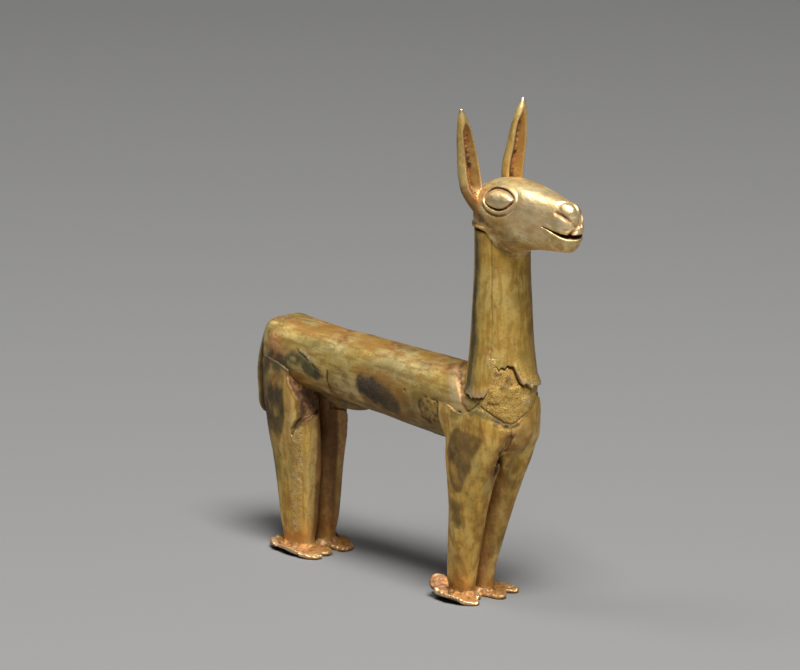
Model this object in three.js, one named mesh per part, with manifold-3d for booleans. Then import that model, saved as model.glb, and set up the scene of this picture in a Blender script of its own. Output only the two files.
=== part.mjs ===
// An Inca llama figure, built up of hammered gold sheet: a body tube, a neck tube, a head, two ears,
// four tapering legs on cut-out soles, and a tail. It stands on its four soles, nose towards +X.
import * as THREE from "three";
import { mergeVertices } from "three/addons/utils/BufferGeometryUtils.js";
import Module from "manifold-3d";

const wasm = await Module();
wasm.setup();

// Driving dimensions, in millimetres
const height = 64; // floor to ear tips
const soleSheet = 0.5; // thickness of a foot sole
const tailSheet = 0.7; // thickness of the tail strip
const limbSheet = 0.3; // how far the top of a leg stands proud of the body that it wraps
const solderGap = 0.15; // between a piece and the one that it is soldered to
const legParting = 0.3; // between the left and the right leg where they touch
const mouthGape = 0.75; // opening of the mouth at the lips
const eyeGroove = 0.34; // width of the groove round each eyeball
const facetError = 0.012; // how far a facet may lie off the true surface

// Points round each ring
const bodySides = 36;
const headSides = 32;
const legSides = 28;
const leafSides = 16;
const channelSides = 12;

// The pose and the proportions are written in 64ths of the height, from the floor up and from the axis
// of the neck fore and aft. The sheet, the gaps and the grooves keep their size whatever the height is.
const parts = 64;
const unit = height / parts;
const sole = soleSheet / unit;
const tailStrip = tailSheet / unit;
const limb = limbSheet / unit;
const gap = solderGap / unit;
const parting = legParting / unit;
const gape = mouthGape / unit;
const groove = eyeGroove / unit;

const right = -1; // the animal's right side lies at -Y
const left = 1;

// Solids

function solidOf(geometry) {
  geometry.deleteAttribute("normal");
  geometry.deleteAttribute("uv");
  const merged = mergeVertices(geometry, 1e-4);
  const mesh = new wasm.Mesh({
    numProp: 3,
    vertProperties: merged.attributes.position.array,
    triVerts: new Uint32Array(merged.index.array),
  });
  return new wasm.Manifold(mesh);
}

// A closed skin through rings of equal point count, with a fan of triangles on each end.
function loft(rings) {
  const count = rings[0].length;
  const last = rings.length - 1;
  const points = rings.flat();
  const faces = [];
  for (let r = 0; r < last; r++) {
    for (let i = 0; i < count; i++) {
      const a = r * count + i;
      const b = r * count + ((i + 1) % count);
      faces.push(a, b, b + count, a, b + count, a + count);
    }
  }
  for (let i = 0; i < count; i++) {
    const next = (i + 1) % count;
    faces.push(points.length, next, i);
    faces.push(points.length + 1, last * count + i, last * count + next);
  }
  [rings[0], rings[last]].forEach((ring) => {
    const middle = ring.reduce((sum, p) => sum.add(p), new THREE.Vector3()).divideScalar(count);
    points.push(middle);
  });
  const geometry = new THREE.BufferGeometry().setFromPoints(points);
  geometry.setIndex(faces);
  return solidOf(geometry);
}

// Rows of a table, the first column being the place along the loft, eased through by a cubic with
// the given number of steps between two rows.
function eased(rows, steps) {
  const places = rows.map((row) => row[0]);
  const columns = rows[0].length;
  const curve = new THREE.CubicInterpolant(places, rows.flat(), columns, new Float64Array(columns));
  const out = [];
  for (let r = 0; r < rows.length - 1; r++) {
    for (let s = 0; s < steps; s++) {
      const place = THREE.MathUtils.lerp(places[r], places[r + 1], s / steps);
      out.push([place, ...Array.from(curve.evaluate(place)).slice(1)]);
    }
  }
  out.push([...rows[rows.length - 1]]);
  return out;
}

// One round of a superellipse: power 2 is an ellipse, and more makes it squarer.
function roundOf(halfWidth, halfHeight, power, count) {
  return Array.from({ length: count }, (_, i) => {
    const turn = (2 * Math.PI * i) / count;
    const c = Math.cos(turn);
    const s = Math.sin(turn);
    const across = halfWidth * Math.sign(c) * Math.abs(c) ** (2 / power);
    const up = halfHeight * Math.sign(s) * Math.abs(s) ** (2 / power);
    return [across, up];
  });
}

// A ring that stands across the body, facing the nose.
function ringAcross(x, y, z, halfWidth, halfHeight, power, count) {
  return roundOf(halfWidth, halfHeight, power, count).map(([a, u]) => new THREE.Vector3(x, y + a, z + u));
}

// A ring that lies level, for what stands upright.
function ringLevel(x, y, z, halfLength, halfWidth, power, count) {
  return roundOf(halfLength, halfWidth, power, count).map(([a, u]) => new THREE.Vector3(x + a, y + u, z));
}

// The piece itself, without the loose slivers that a cut can leave beside it.
function withoutOffcuts(solid) {
  return solid.decompose().reduce((a, b) => (a.volume() > b.volume() ? a : b));
}

function ball(x, y, z, rx, ry, rz, sides) {
  const geometry = new THREE.SphereGeometry(1, sides, sides / 2);
  geometry.scale(rx, ry, rz);
  geometry.translate(x, y, z);
  return solidOf(geometry);
}

// All that lies over on the other side of a plane beside the middle, for a cut.
function acrossFrom(side, y) {
  const geometry = new THREE.BoxGeometry(2 * parts, parts, 2 * parts);
  geometry.translate(0, side * (y - parts / 2), 0);
  return solidOf(geometry);
}

// A side profile of [x, z] points, extruded right across the body for a cut.
function slab(profile) {
  const shape = new THREE.Shape(profile.map(([x, z]) => new THREE.Vector2(x, z)));
  const geometry = new THREE.ExtrudeGeometry(shape, { depth: parts, bevelEnabled: false });
  geometry.rotateX(Math.PI / 2);
  geometry.translate(0, parts / 2, 0);
  return solidOf(geometry);
}

// Trunk: place, centre height, half height, half width, squareness
const bodyHalfWidth = 4.8; // at its widest, behind the front legs
const trunkTable = [
  [-41.9, 25.35, 4.15, 3.4, 4.4],
  [-41.4, 25.4, 4.38, 3.75, 4],
  [-39.5, 25.45, 4.42, 4.15, 3],
  [-34, 25.43, 4.44, 4.35, 2.15],
  [-22, 25.25, 4.64, 4.6, 2],
  [-9, 24.87, 5.0, bodyHalfWidth, 2],
  [-2, 24.85, 4.95, 4.7, 2],
];
// Chest, a short drum under the neck: height, half length, half width
const chestTable = [
  [20.2, 2.4, 2.6],
  [20.8, 3.3, 3.5],
  [22.2, 4.0, 4.15],
  [25, 4.35, 4.4],
  [29.2, 4.4, 4.45],
];
const sheath = { x: -29.4, z: 20.9, halfLength: 4.7, halfWidth: 1.2, halfHeight: 1.25 };

function trunkSolid(grow) {
  const tube = eased(trunkTable, 2).map(([x, z, halfHeight, halfWidth, power], i) =>
    ringAcross(i ? x : x - grow, 0, z, halfWidth + grow, halfHeight + grow, power, bodySides),
  );
  const top = chestTable.length - 1;
  const drum = chestTable.map(([z, halfLength, halfWidth], i) =>
    ringLevel(0, 0, i === top ? z + grow : z, halfLength + grow, halfWidth + grow, 2, bodySides),
  );
  const swelling = ball(
    sheath.x,
    0,
    sheath.z,
    sheath.halfLength + grow,
    sheath.halfWidth + grow,
    sheath.halfHeight + grow,
    leafSides,
  );
  return loft(tube).add(loft(drum)).add(swelling);
}

// Neck: height, half length, half width. The lowest row reaches into the chest, which cuts it.
const neckTable = [
  [28.6, 4.62, 4.6],
  [30.2, 4.4, 4.42],
  [32.7, 4.09, 4.12],
  [36, 3.87, 3.87],
  [39.2, 3.74, 3.74],
  [42.4, 3.61, 3.61],
  [45.6, 3.54, 3.54],
  [48.6, 3.55, 3.55],
];

function neckSolid() {
  const rings = neckTable.map(([z, halfLength, halfWidth]) =>
    ringLevel(0, 0, z, halfLength, halfWidth, 2, bodySides),
  );
  return withoutOffcuts(loft(rings).subtract(trunkSolid(gap)).subtract(headSolid(gap)));
}

// Head: place, centre height, half height, half width, squareness
const headTable = [
  [-3.55, 50.3, 1.6, 1.5, 2],
  [-3.2, 50.4, 2.6, 2.5, 2],
  [-2.0, 50.7, 3.35, 3.25, 2],
  [0.6, 50.9, 4.05, 3.75, 2.1],
  [3.2, 50.55, 4.6, 3.6, 2.2],
  [6.0, 50.75, 4.1, 3.2, 2.3],
  [9, 50.7, 3.6, 2.65, 2.3],
  [11.4, 50.55, 3.25, 2.1, 2.2],
  [12.9, 50.4, 2.75, 1.6, 2.1],
  [13.7, 50.4, 1.9, 0.9, 2],
];

function headSolid(grow) {
  const rings = eased(headTable, 2).map(([x, z, halfHeight, halfWidth, power], i) =>
    ringAcross(i ? x : x - grow, 0, z, halfWidth + grow, halfHeight + grow, power, headSides),
  );
  return loft(rings);
}

const eye = {
  x: 2.25,
  y: 2.5,
  z: 52.75,
  halfLength: 2.25,
  halfHeight: 1.4,
  depth: 1.25,
  socketDepth: 0.95,
};
const mouth = { corner: 9.9, z: 50.6, lips: 15, drop: 0.75 }; // the lips' end lies past the nose
const nostril = {
  x: 13.2,
  y: 1.75,
  z: 51.75,
  halfLength: 1.15,
  halfWidth: 0.6,
  halfHeight: 0.4,
  dip: 38, // degrees that its front end falls
  slant: 28, // degrees that its front end turns to the middle
};

function eyeSocket(side) {
  return ball(
    eye.x,
    side * eye.y,
    eye.z,
    eye.halfLength + groove,
    eye.socketDepth,
    eye.halfHeight + groove,
    leafSides,
  );
}

function eyeBall(side) {
  return ball(eye.x, side * eye.y, eye.z, eye.halfLength, eye.depth, eye.halfHeight, leafSides);
}

function nostrilSlit(side) {
  const { x, y, z, halfLength, halfWidth, halfHeight, dip, slant } = nostril;
  const slit = ball(0, 0, 0, halfLength, halfWidth, halfHeight, channelSides);
  return slit.rotate([0, dip, -side * slant]).translate([x, side * y, z]);
}

function carvedHead() {
  let head = headSolid(0);
  const slot = slab([
    [mouth.corner, mouth.z],
    [mouth.lips, mouth.z - mouth.drop - gape],
    [mouth.lips, mouth.z - mouth.drop],
  ]);
  head = head.subtract(slot);
  [right, left].forEach((side) => {
    head = head.subtract(eyeSocket(side)).add(eyeBall(side)).subtract(nostrilSlit(side));
  });
  return head;
}

// Ear, a leaf folded to a channel that opens forward: height, fore and aft place, distance from the
// middle, half depth, half width
const earTable = [
  [50.6, -0.9, 3.3, 0.35, 0.4],
  [51.4, -1.2, 3.35, 0.7, 0.85],
  [53, -1.85, 3.45, 1.05, 1.4],
  [55.2, -2.15, 3.65, 1.15, 1.6],
  [58, -2.05, 4.15, 1.02, 1.42],
  [61, -1.98, 4.65, 0.78, 1.05],
  [63.1, -1.95, 5.05, 0.45, 0.52],
  [64, -1.95, 5.2, 0.14, 0.16],
];
const earFold = {
  forward: 0.75, // shares of the leaf's own half depth and half width
  depth: 0.8,
  width: 0.62,
  low: 51.8,
  high: 62.4,
};

function earSolid(side) {
  const rows = eased(earTable, 2);
  const leaf = loft(
    rows.map(([z, x, y, halfDepth, halfWidth]) =>
      ringLevel(x, side * y, z, halfDepth, halfWidth, 2, leafSides),
    ),
  );
  const folded = rows.filter(([z]) => z > earFold.low && z < earFold.high);
  const channel = loft(
    folded.map(([z, x, y, halfDepth, halfWidth]) => {
      const forward = x + earFold.forward * halfDepth;
      const depth = earFold.depth * halfDepth;
      const width = earFold.width * halfWidth;
      return ringLevel(forward, side * y, z, depth, width, 2, channelSides);
    }),
  );
  return withoutOffcuts(leaf.subtract(channel).subtract(headSolid(gap)));
}

// Legs: height, fore and aft place, distance from the middle, half length, half width. Each starts on
// its sole, and its top stands proud of the body by the thickness of its sheet.
const legTop = bodyHalfWidth + gap + limb;
const frontLegTable = [
  [sole + gap, -5.82, 1.5, 2.2, 1.42, 2],
  [3, -5.65, 1.52, 2.3, 1.5, 2],
  [7, -4.85, 1.85, 2.5, 1.8, 2],
  [12, -3.72, 2.3, 2.85, 2.1, 2],
  [16, -2.95, legTop - 2.75, 3.5, 2.5, 2.1],
  [19, -2.35, legTop - 2.7, 4.2, 2.7, 2.3],
  [22, -1.75, legTop - 2.65, 4.4, 2.65, 2.5],
  [24, -1.6, legTop - 2.65, 4.4, 2.65, 2.5],
];
const hindLegTable = [
  [sole + gap, -36.82, 1.75, 2.6, 1.5, 2],
  [4, -36.8, 1.82, 2.75, 1.62, 2],
  [8, -36.85, 1.88, 3.05, 1.8, 2],
  [12, -36.97, 1.95, 3.5, 2.0, 2],
  [15, -37.1, legTop - 3.0, 3.85, 2.25, 2],
  [18, -37.3, legTop - 2.8, 4.1, 2.4, 2],
  [21, -37.55, legTop - 2.65, 4.1, 2.45, 2],
  [25, -37.7, legTop - 2.65, 4.0, 2.45, 2],
];

function legSolid(table, side) {
  const rings = table.map(([z, x, y, halfLength, halfWidth, power]) =>
    ringLevel(x, side * y, z, halfLength, halfWidth, power, legSides),
  );
  const whole = loft(rings).subtract(acrossFrom(side, parting / 2));
  return withoutOffcuts(whole.subtract(trunkSolid(gap)));
}

// The thigh's upper edge falls from the rump to the front of the leg.
const thighEdge = [
  [-45, 24.9],
  [-38, 24.2],
  [-35.6, 21.6],
  [-30, 20.4],
];

function hindLeg(side) {
  const above = slab([...thighEdge, [thighEdge.at(-1)[0], parts], [thighEdge[0][0], parts]]);
  return withoutOffcuts(legSolid(hindLegTable, side).subtract(above));
}

// Soles: outlines cut from sheet, seen from above, with points as [x, distance from the middle]
const frontSoleRight = [
  [-8.6, 1.0],
  [-8.3, 2.6],
  [-6.9, 4.1],
  [-4.9, 4.8],
  [-2.9, 4.9],
  [-1.4, 4.4],
  [-1.2, 3.6],
  [-2.1, 2.9],
  [-2.0, 1.6],
  [-3.2, 0.5],
  [-7, 0.35],
];
const frontSoleLeft = [
  [-8.6, 1.2],
  [-8.2, 2.9],
  [-6.2, 4.1],
  [-3.6, 4.4],
  [-1.3, 4.2],
  [-0.8, 3.3],
  [-1.8, 2.5],
  [-0.3, 1.6],
  [-0.7, 0.5],
  [-2.8, 0.3],
  [-7, 0.35],
];
const hindSoleRight = [
  [-40.3, 1.4],
  [-39.9, 3.6],
  [-37.7, 5.2],
  [-35, 5.5],
  [-32.6, 4.8],
  [-31.7, 3.7],
  [-32.6, 2.9],
  [-31.4, 1.9],
  [-31.9, 0.6],
  [-35, 0.3],
  [-39, 0.35],
];
const hindSoleLeft = [
  [-40.2, 1.4],
  [-39.6, 3.3],
  [-37.4, 4.4],
  [-35, 4.5],
  [-33.2, 4.0],
  [-32.8, 3.0],
  [-33.6, 2.3],
  [-31.9, 1.6],
  [-32.1, 0.5],
  [-35, 0.3],
  [-39, 0.35],
];
// The tab at the outer rear corner of the right front sole: where it leaves the sole and which way, how
// far out it starts and bends, the radius and angle of the bend, and how far it runs on above it
const flap = {
  x: -5.8,
  y: -1.5,
  heading: 212,
  start: 1,
  bend: 1.9,
  radius: 1.5,
  turn: 1.25,
  rise: 1.7,
  halfWidth: 1.3,
};

function soleSolid(points, side) {
  const outline = new THREE.SplineCurve(
    [...points, points[0]].map(([x, y]) => new THREE.Vector2(x, side * y)),
  );
  const edge = outline.getPoints(2 * points.length).slice(0, -1);
  const shape = new THREE.Shape(edge);
  return solidOf(new THREE.ExtrudeGeometry(shape, { depth: sole, bevelEnabled: false }));
}

// A tab of the sole's sheet that runs out level, curls up on a round and ends in a rounded lip.
function curledFlap() {
  const { start, bend, radius, turn, rise, halfWidth } = flap;
  const foot = -Math.PI / 2;
  const along = new THREE.Vector2(Math.cos(turn), Math.sin(turn));
  const onRound = (r) => new THREE.Vector2(bend + r * Math.sin(turn), radius - r * Math.cos(turn));
  const outerTip = onRound(radius).addScaledVector(along, rise);
  const innerTip = onRound(radius - sole).addScaledVector(along, rise);
  const profile = new THREE.Shape();
  profile.moveTo(start, 0);
  profile.lineTo(bend, 0);
  profile.absarc(bend, radius, radius, foot, foot + turn, false);
  profile.lineTo(outerTip.x, outerTip.y);
  profile.lineTo(innerTip.x, innerTip.y);
  profile.absarc(bend, radius, radius - sole, foot + turn, foot, true);
  profile.lineTo(start, sole);
  const width = 2 * halfWidth;
  const geometry = new THREE.ExtrudeGeometry(profile, {
    depth: width,
    bevelEnabled: false,
    curveSegments: 6,
  });
  geometry.rotateX(Math.PI / 2);
  geometry.translate(0, halfWidth, 0);
  const reach = radius + rise;
  const rounding = ball(bend, 0, 1, 0.8 * reach, 1.05 * halfWidth, 0.7 * reach, bodySides);
  const tab = solidOf(geometry).intersect(rounding);
  return tab.rotate([0, 0, flap.heading]).translate([flap.x, flap.y, 0]);
}

// Tail: height, fore and aft place of its outer face, half width
const tailTable = [
  [16.2, -45.3, 0.5],
  [17.0, -45.35, 1.1],
  [19.6, -45.25, 1.65],
  [22, -45.0, 2.0],
  [24.6, -44.4, 2.2],
  [27, -43.4, 2.4],
  [28.9, -42.5, 2.5],
];

function tailSolid() {
  const rings = tailTable.map(([z, x, halfWidth]) =>
    ringLevel(x + tailStrip / 2, 0, z, tailStrip / 2, halfWidth, 3, leafSides),
  );
  return withoutOffcuts(loft(rings).subtract(trunkSolid(gap)));
}

// Meshes

function piece(name, solid, colour, roughness) {
  const made = solid.simplify(facetError / unit).getMesh();
  const geometry = new THREE.BufferGeometry();
  geometry.setAttribute("position", new THREE.BufferAttribute(made.vertProperties, 3));
  geometry.setIndex(new THREE.BufferAttribute(made.triVerts, 1));
  geometry.computeVertexNormals();
  const material = new THREE.MeshStandardMaterial({ color: colour, roughness, metalness: 1 });
  const mesh = new THREE.Mesh(geometry, material);
  mesh.name = name;
  return mesh;
}

const gold = "#b3914a";
const paleGold = "#c09c55";
const redGold = "#a9763c";

const figure = new THREE.Group();
figure.add(piece("trunk", trunkSolid(0), gold, 0.42));
figure.add(piece("neck", neckSolid(), gold, 0.38));
figure.add(piece("head", carvedHead(), paleGold, 0.36));
figure.add(piece("tail", tailSolid(), gold, 0.45));
[
  ["right", right],
  ["left", left],
].forEach(([name, side]) => {
  figure.add(piece(`ear_${name}`, earSolid(side), paleGold, 0.38));
  figure.add(piece(`leg_front_${name}`, legSolid(frontLegTable, side), gold, 0.42));
  figure.add(piece(`leg_hind_${name}`, hindLeg(side), gold, 0.42));
});
figure.add(piece("sole_front_right", soleSolid(frontSoleRight, right).add(curledFlap()), redGold, 0.4));
figure.add(piece("sole_front_left", soleSolid(frontSoleLeft, left), redGold, 0.4));
figure.add(piece("sole_hind_right", soleSolid(hindSoleRight, right), redGold, 0.4));
figure.add(piece("sole_hind_left", soleSolid(hindSoleLeft, left), redGold, 0.4));
figure.scale.setScalar(unit);

// The part's origin is on the floor, in the middle of its length and width.
figure.updateMatrixWorld(true);
const extent = new THREE.Box3().setFromObject(figure);
const middle = extent.getCenter(new THREE.Vector3());
figure.position.set(-middle.x, -middle.y, 0);

const group = new THREE.Group();
group.add(figure);

export default group;
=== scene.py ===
import math

import bpy
import numpy as np
import openvdb
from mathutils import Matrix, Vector


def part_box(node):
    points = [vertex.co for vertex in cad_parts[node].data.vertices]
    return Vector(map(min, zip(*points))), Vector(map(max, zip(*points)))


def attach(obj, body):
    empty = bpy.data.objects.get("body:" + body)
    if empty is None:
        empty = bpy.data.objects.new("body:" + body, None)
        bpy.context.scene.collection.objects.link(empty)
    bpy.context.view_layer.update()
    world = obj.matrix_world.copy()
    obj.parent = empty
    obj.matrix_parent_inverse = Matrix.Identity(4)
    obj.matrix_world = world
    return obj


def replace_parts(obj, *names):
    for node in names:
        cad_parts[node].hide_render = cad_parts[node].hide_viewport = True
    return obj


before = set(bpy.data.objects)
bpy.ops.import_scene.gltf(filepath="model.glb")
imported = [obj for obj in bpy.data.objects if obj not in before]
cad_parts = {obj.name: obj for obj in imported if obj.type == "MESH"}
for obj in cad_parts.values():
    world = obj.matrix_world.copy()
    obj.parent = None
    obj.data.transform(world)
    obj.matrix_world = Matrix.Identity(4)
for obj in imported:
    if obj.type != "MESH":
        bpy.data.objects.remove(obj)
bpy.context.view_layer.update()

# The view
# The camera stands in front of the animal's right shoulder, a little above it, and looks through a
# long lens at the middle of the figure.
view_turn = math.radians(48.353)
view_rise = math.radians(13.820)
view_distance = 0.9
view_target = Vector((-0.003305, 0.0, 0.03116))

towards_camera = Vector(
    (
        math.sin(view_turn) * math.cos(view_rise),
        -math.cos(view_turn) * math.cos(view_rise),
        math.sin(view_rise),
    )
)
camera_data = bpy.data.cameras.new("view")
camera_data.lens = 319.4
camera_data.sensor_fit = "HORIZONTAL"
camera_data.sensor_width = 36
camera_data.clip_end = 30
camera = bpy.data.objects.new("view", camera_data)
camera.location = view_target + view_distance * towards_camera
camera.rotation_euler = (-towards_camera).to_track_quat("-Z", "Y").to_euler()
bpy.context.scene.collection.objects.link(camera)
bpy.context.scene.camera = camera


# Body tube
# The body is one sheet of gold alloy hammered round into a tube, closed over the rump and worked down
# in front into a chest. The neck is soldered on the chest, and that joint has since torn open.
#
# All shapes are worked out in millimetres from the neck's axis on the floor, x towards the nose and y
# towards the animal's left, each as a field of depth: below 0 inside the metal, above 0 in the air.
neck_low, neck_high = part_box("neck")
neck_axis = np.array([500 * (neck_low[0] + neck_high[0]), 0.0, 0.0])

lattice = np.random.default_rng(12).uniform(-1, 1, 64**3)  # a cube of random values, repeated all ways


def ripple(p, size, seed):
    """Smooth random waves between about -1 and 1, with lumps as wide as size."""
    cell = p / size + seed * np.array([3.7, 5.9, 8.3])
    base = np.floor(cell)
    share = cell - base
    share = share * share * share * (share * (6 * share - 15) + 10)
    near = base.astype(np.int64) & 63
    far = (near + 1) & 63
    near, far = near * [4096, 64, 1], far * [4096, 64, 1]
    total = 0
    for x_at, x_share in ((near[:, 0], 1 - share[:, 0]), (far[:, 0], share[:, 0])):
        for y_at, y_share in ((near[:, 1], 1 - share[:, 1]), (far[:, 1], share[:, 1])):
            low, high = lattice[x_at + y_at + near[:, 2]], lattice[x_at + y_at + far[:, 2]]
            total = total + x_share * y_share * (low + (high - low) * share[:, 2])
    return 1.3 * total


def rough(p, size, seed, octaves=3):
    """Random relief with finer and finer lumps."""
    total = np.zeros(len(p))
    for k in range(octaves):
        total += ripple(p, size / 2**k, seed + 7 * k) / 2**k
    return total / (2 - 2.0 ** (1 - octaves))


def ease(x, low, high):
    """0 at low, 1 at high, smooth between them."""
    t = np.clip((x - low) / (high - low), 0, 1)
    return t * t * (3 - 2 * t)


def spots(p, size, seed, low, high):
    """Random spots of that size: 0 where their relief is at low, 1 where it is at high."""
    return ease(rough(p, size, seed), low, high)


def joined(a, b, blend):
    """Two solids as one, with a fillet between them."""
    h = np.clip(0.5 + 0.5 * (b - a) / blend, 0, 1)
    return b + (a - b) * h - blend * h * (1 - h)


def shared(a, b, blend):
    """What two solids share, with its edge rounded."""
    return -joined(-a, -b, blend)


def along_rows(rows, at):
    """The rows of a table, their first column the place, eased through at the given places."""
    rows = np.array(rows, float)
    places, values = rows[:, 0], rows[:, 1:]
    slopes = np.gradient(values, places, axis=0)
    i = np.clip(np.searchsorted(places, at) - 1, 0, len(places) - 2)
    run = places[i + 1] - places[i]
    t = np.clip((at - places[i]) / run, 0, 1)[:, None]
    run = run[:, None]
    one, two = values[i], values[i + 1]
    return (
        (1 + 2 * t) * (1 - t) ** 2 * one
        + t * (1 - t) ** 2 * run * slopes[i]
        + t * t * (3 - 2 * t) * two
        + t * t * (t - 1) * run * slopes[i + 1]
    ).T


def round_depth(a, b, half_a, half_b, power=2.0):
    """Depth in a round of those half widths: power 2 is an ellipse, and more is squarer."""
    reach = np.hypot(a, b) + 1e-6
    share = ((np.abs(a) / half_a) ** power + (np.abs(b) / half_b) ** power) ** (1 / power) + 1e-9
    return reach * (1 - 1 / share)


def off_line(p, line):
    """Distance from a line through points."""
    line = np.array(line, float)
    nearest = np.full(len(p), np.inf)
    for a, b in zip(line[:-1], line[1:]):
        run = b - a
        t = np.clip((p - a) @ run / max(run @ run, 1e-9), 0, 1)
        nearest = np.minimum(nearest, np.linalg.norm(p - a - t[:, None] * run, axis=1))
    return nearest


def off_points(p, points):
    """Distance from the nearest of some points."""
    nearest = np.full(len(p), np.inf)
    for point in points:
        nearest = np.minimum(nearest, np.linalg.norm(p - np.array(point), axis=1))
    return nearest


def pits(p, points, radius, depth):
    """How far pits sink into the sheet."""
    return depth * ease(off_points(p, points), radius, 0.35 * radius)


def groove(p, line, radius, depth):
    """How far a groove along a line sinks into the sheet."""
    return depth * ease(off_line(p, line), radius, 0.25 * radius)


def patch(p, line, radius, soft=0.8, fray=0.35, seed=5):
    """1 on a stain along a line, fading over its frayed edge."""
    frayed = off_line(p, line) + fray * rough(p, 1.3, seed)
    return ease(frayed, radius + soft * radius, radius)


def hammered(p, seed, deep=0.035):
    """Shallow facets and dents that the hammer leaves."""
    return (
        deep * ripple(p, 3.4, seed)
        + 0.45 * deep * ripple(p, 1.5, seed + 1)
        + 0.16 * deep * ripple(p, 0.6, seed + 2)
    )


def outline_depth(a, b, outline):
    """Distance from a closed outline, below 0 inside it."""
    nearest = np.full(len(a), np.inf)
    inside = np.zeros(len(a), bool)
    for (a0, b0), (a1, b1) in zip(outline, np.roll(outline, -1, axis=0)):
        run_a, run_b = a1 - a0, b1 - b0
        t = np.clip(((a - a0) * run_a + (b - b0) * run_b) / max(run_a**2 + run_b**2, 1e-9), 0, 1)
        nearest = np.minimum(nearest, np.hypot(a - a0 - t * run_a, b - b0 - t * run_b))
        inside ^= ((b0 > b) != (b1 > b)) & (a < run_a * (b - b0) / (run_b + 1e-12) + a0)
    return np.where(inside, -nearest, nearest)


def rounded_outline(corners, steps=5):
    """A closed outline eased through its corners."""
    corners = np.array(corners, float)
    points = []
    for i in range(len(corners)):
        a, b, c, d = (corners[(i + k) % len(corners)] for k in (-1, 0, 1, 2))
        for t in np.arange(steps) / steps:
            turn = (2 * a - 5 * b + 4 * c - d) * t**2 + (3 * b - a - 3 * c + d) * t**3
            points.append(0.5 * (2 * b + (c - a) * t + turn))
    return np.array(points)


def blot(p, corners, soft=0.3, fray=0.3, seed=7, side=-1):
    """1 on a stain drawn as an outline (x, z) on one flank, fading over its frayed edge."""
    frayed = outline_depth(p[:, 0], p[:, 2], rounded_outline(corners)) + fray * rough(p, 1.3, seed)
    return ease(frayed, soft, -soft) * ease(side * p[:, 1], 0.2, 1.0)


stain_names = ("deep", "worn", "dark", "brown", "rust", "green", "rose", "crust")


def raise_sheet(name, low, high, cell, form, worked, stains, reach=0.5):
    """A mesh of the form with its relief worked in near the surface, and stains, wear, painted shade and painted
    highlights kept at its points.

    Blocks of 4 cells a side are tried at their middle first, and only those near the surface in full.
    """
    low = np.array(low, float)
    blocks = np.ceil((np.array(high) - low) / cell / 4).astype(int)
    block_at = np.stack(np.meshgrid(*[np.arange(n) for n in blocks], indexing="ij"), -1).reshape(-1, 3)
    middle_depth = form(low + cell * (4 * block_at + 1.5))
    depth = middle_depth.reshape(blocks)
    for axis in range(3):
        depth = depth.repeat(4, axis)
    inner = np.stack(np.meshgrid(*[np.arange(4)] * 3, indexing="ij"), -1).reshape(-1, 3)
    near_blocks = block_at[np.abs(middle_depth) < reach + 3.5 * cell]
    cells = (4 * near_blocks[:, None] + inner).reshape(-1, 3)
    cell_points = low + cell * cells
    exact = form(cell_points)
    skin = np.abs(exact) < reach
    exact[skin] = worked(cell_points[skin], exact[skin])
    depth[tuple(cells.T)] = exact
    grid = openvdb.FloatGrid(1.0)
    grid.copyFromArray(np.clip(depth, -1, 1).astype(np.float32))
    points, quads = grid.convertToQuads(0.0)
    points = points.astype(float) * cell + low

    mesh = bpy.data.meshes.new(name)
    mesh.vertices.add(len(points))
    mesh.vertices.foreach_set("co", ((points + neck_axis) / 1000).ravel().astype(np.float32))
    mesh.loops.add(quads.size)
    mesh.loops.foreach_set("vertex_index", quads.ravel().astype(np.int32))
    mesh.polygons.add(len(quads))
    mesh.polygons.foreach_set("loop_start", np.arange(0, quads.size, 4, dtype=np.int32))
    mesh.polygons.foreach_set("use_smooth", np.ones(len(quads), bool))
    mesh.update(calc_edges=True)
    mesh.validate()

    smooth = form(points)
    strengths = {"deep": ease(-smooth, 0.06, 0.34), "worn": 0.8 * ease(smooth, 0.04, 0.2)}
    strengths.update(stains(points, smooth))
    for stain in stain_names:
        layer = mesh.attributes.new(stain, "FLOAT", "POINT")
        strength = strengths.get(stain, 0) * np.ones(len(points))
        layer.data.foreach_set("value", np.clip(strength, 0, 1).astype(np.float32))
    piece = bpy.data.objects.new(name, mesh)
    bpy.context.scene.collection.objects.link(piece)
    return piece


def most(*strengths):
    """The strongest of several stains at each point."""
    made = strengths[0]
    for strength in strengths[1:]:
        made = np.maximum(made, strength)
    return made


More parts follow.
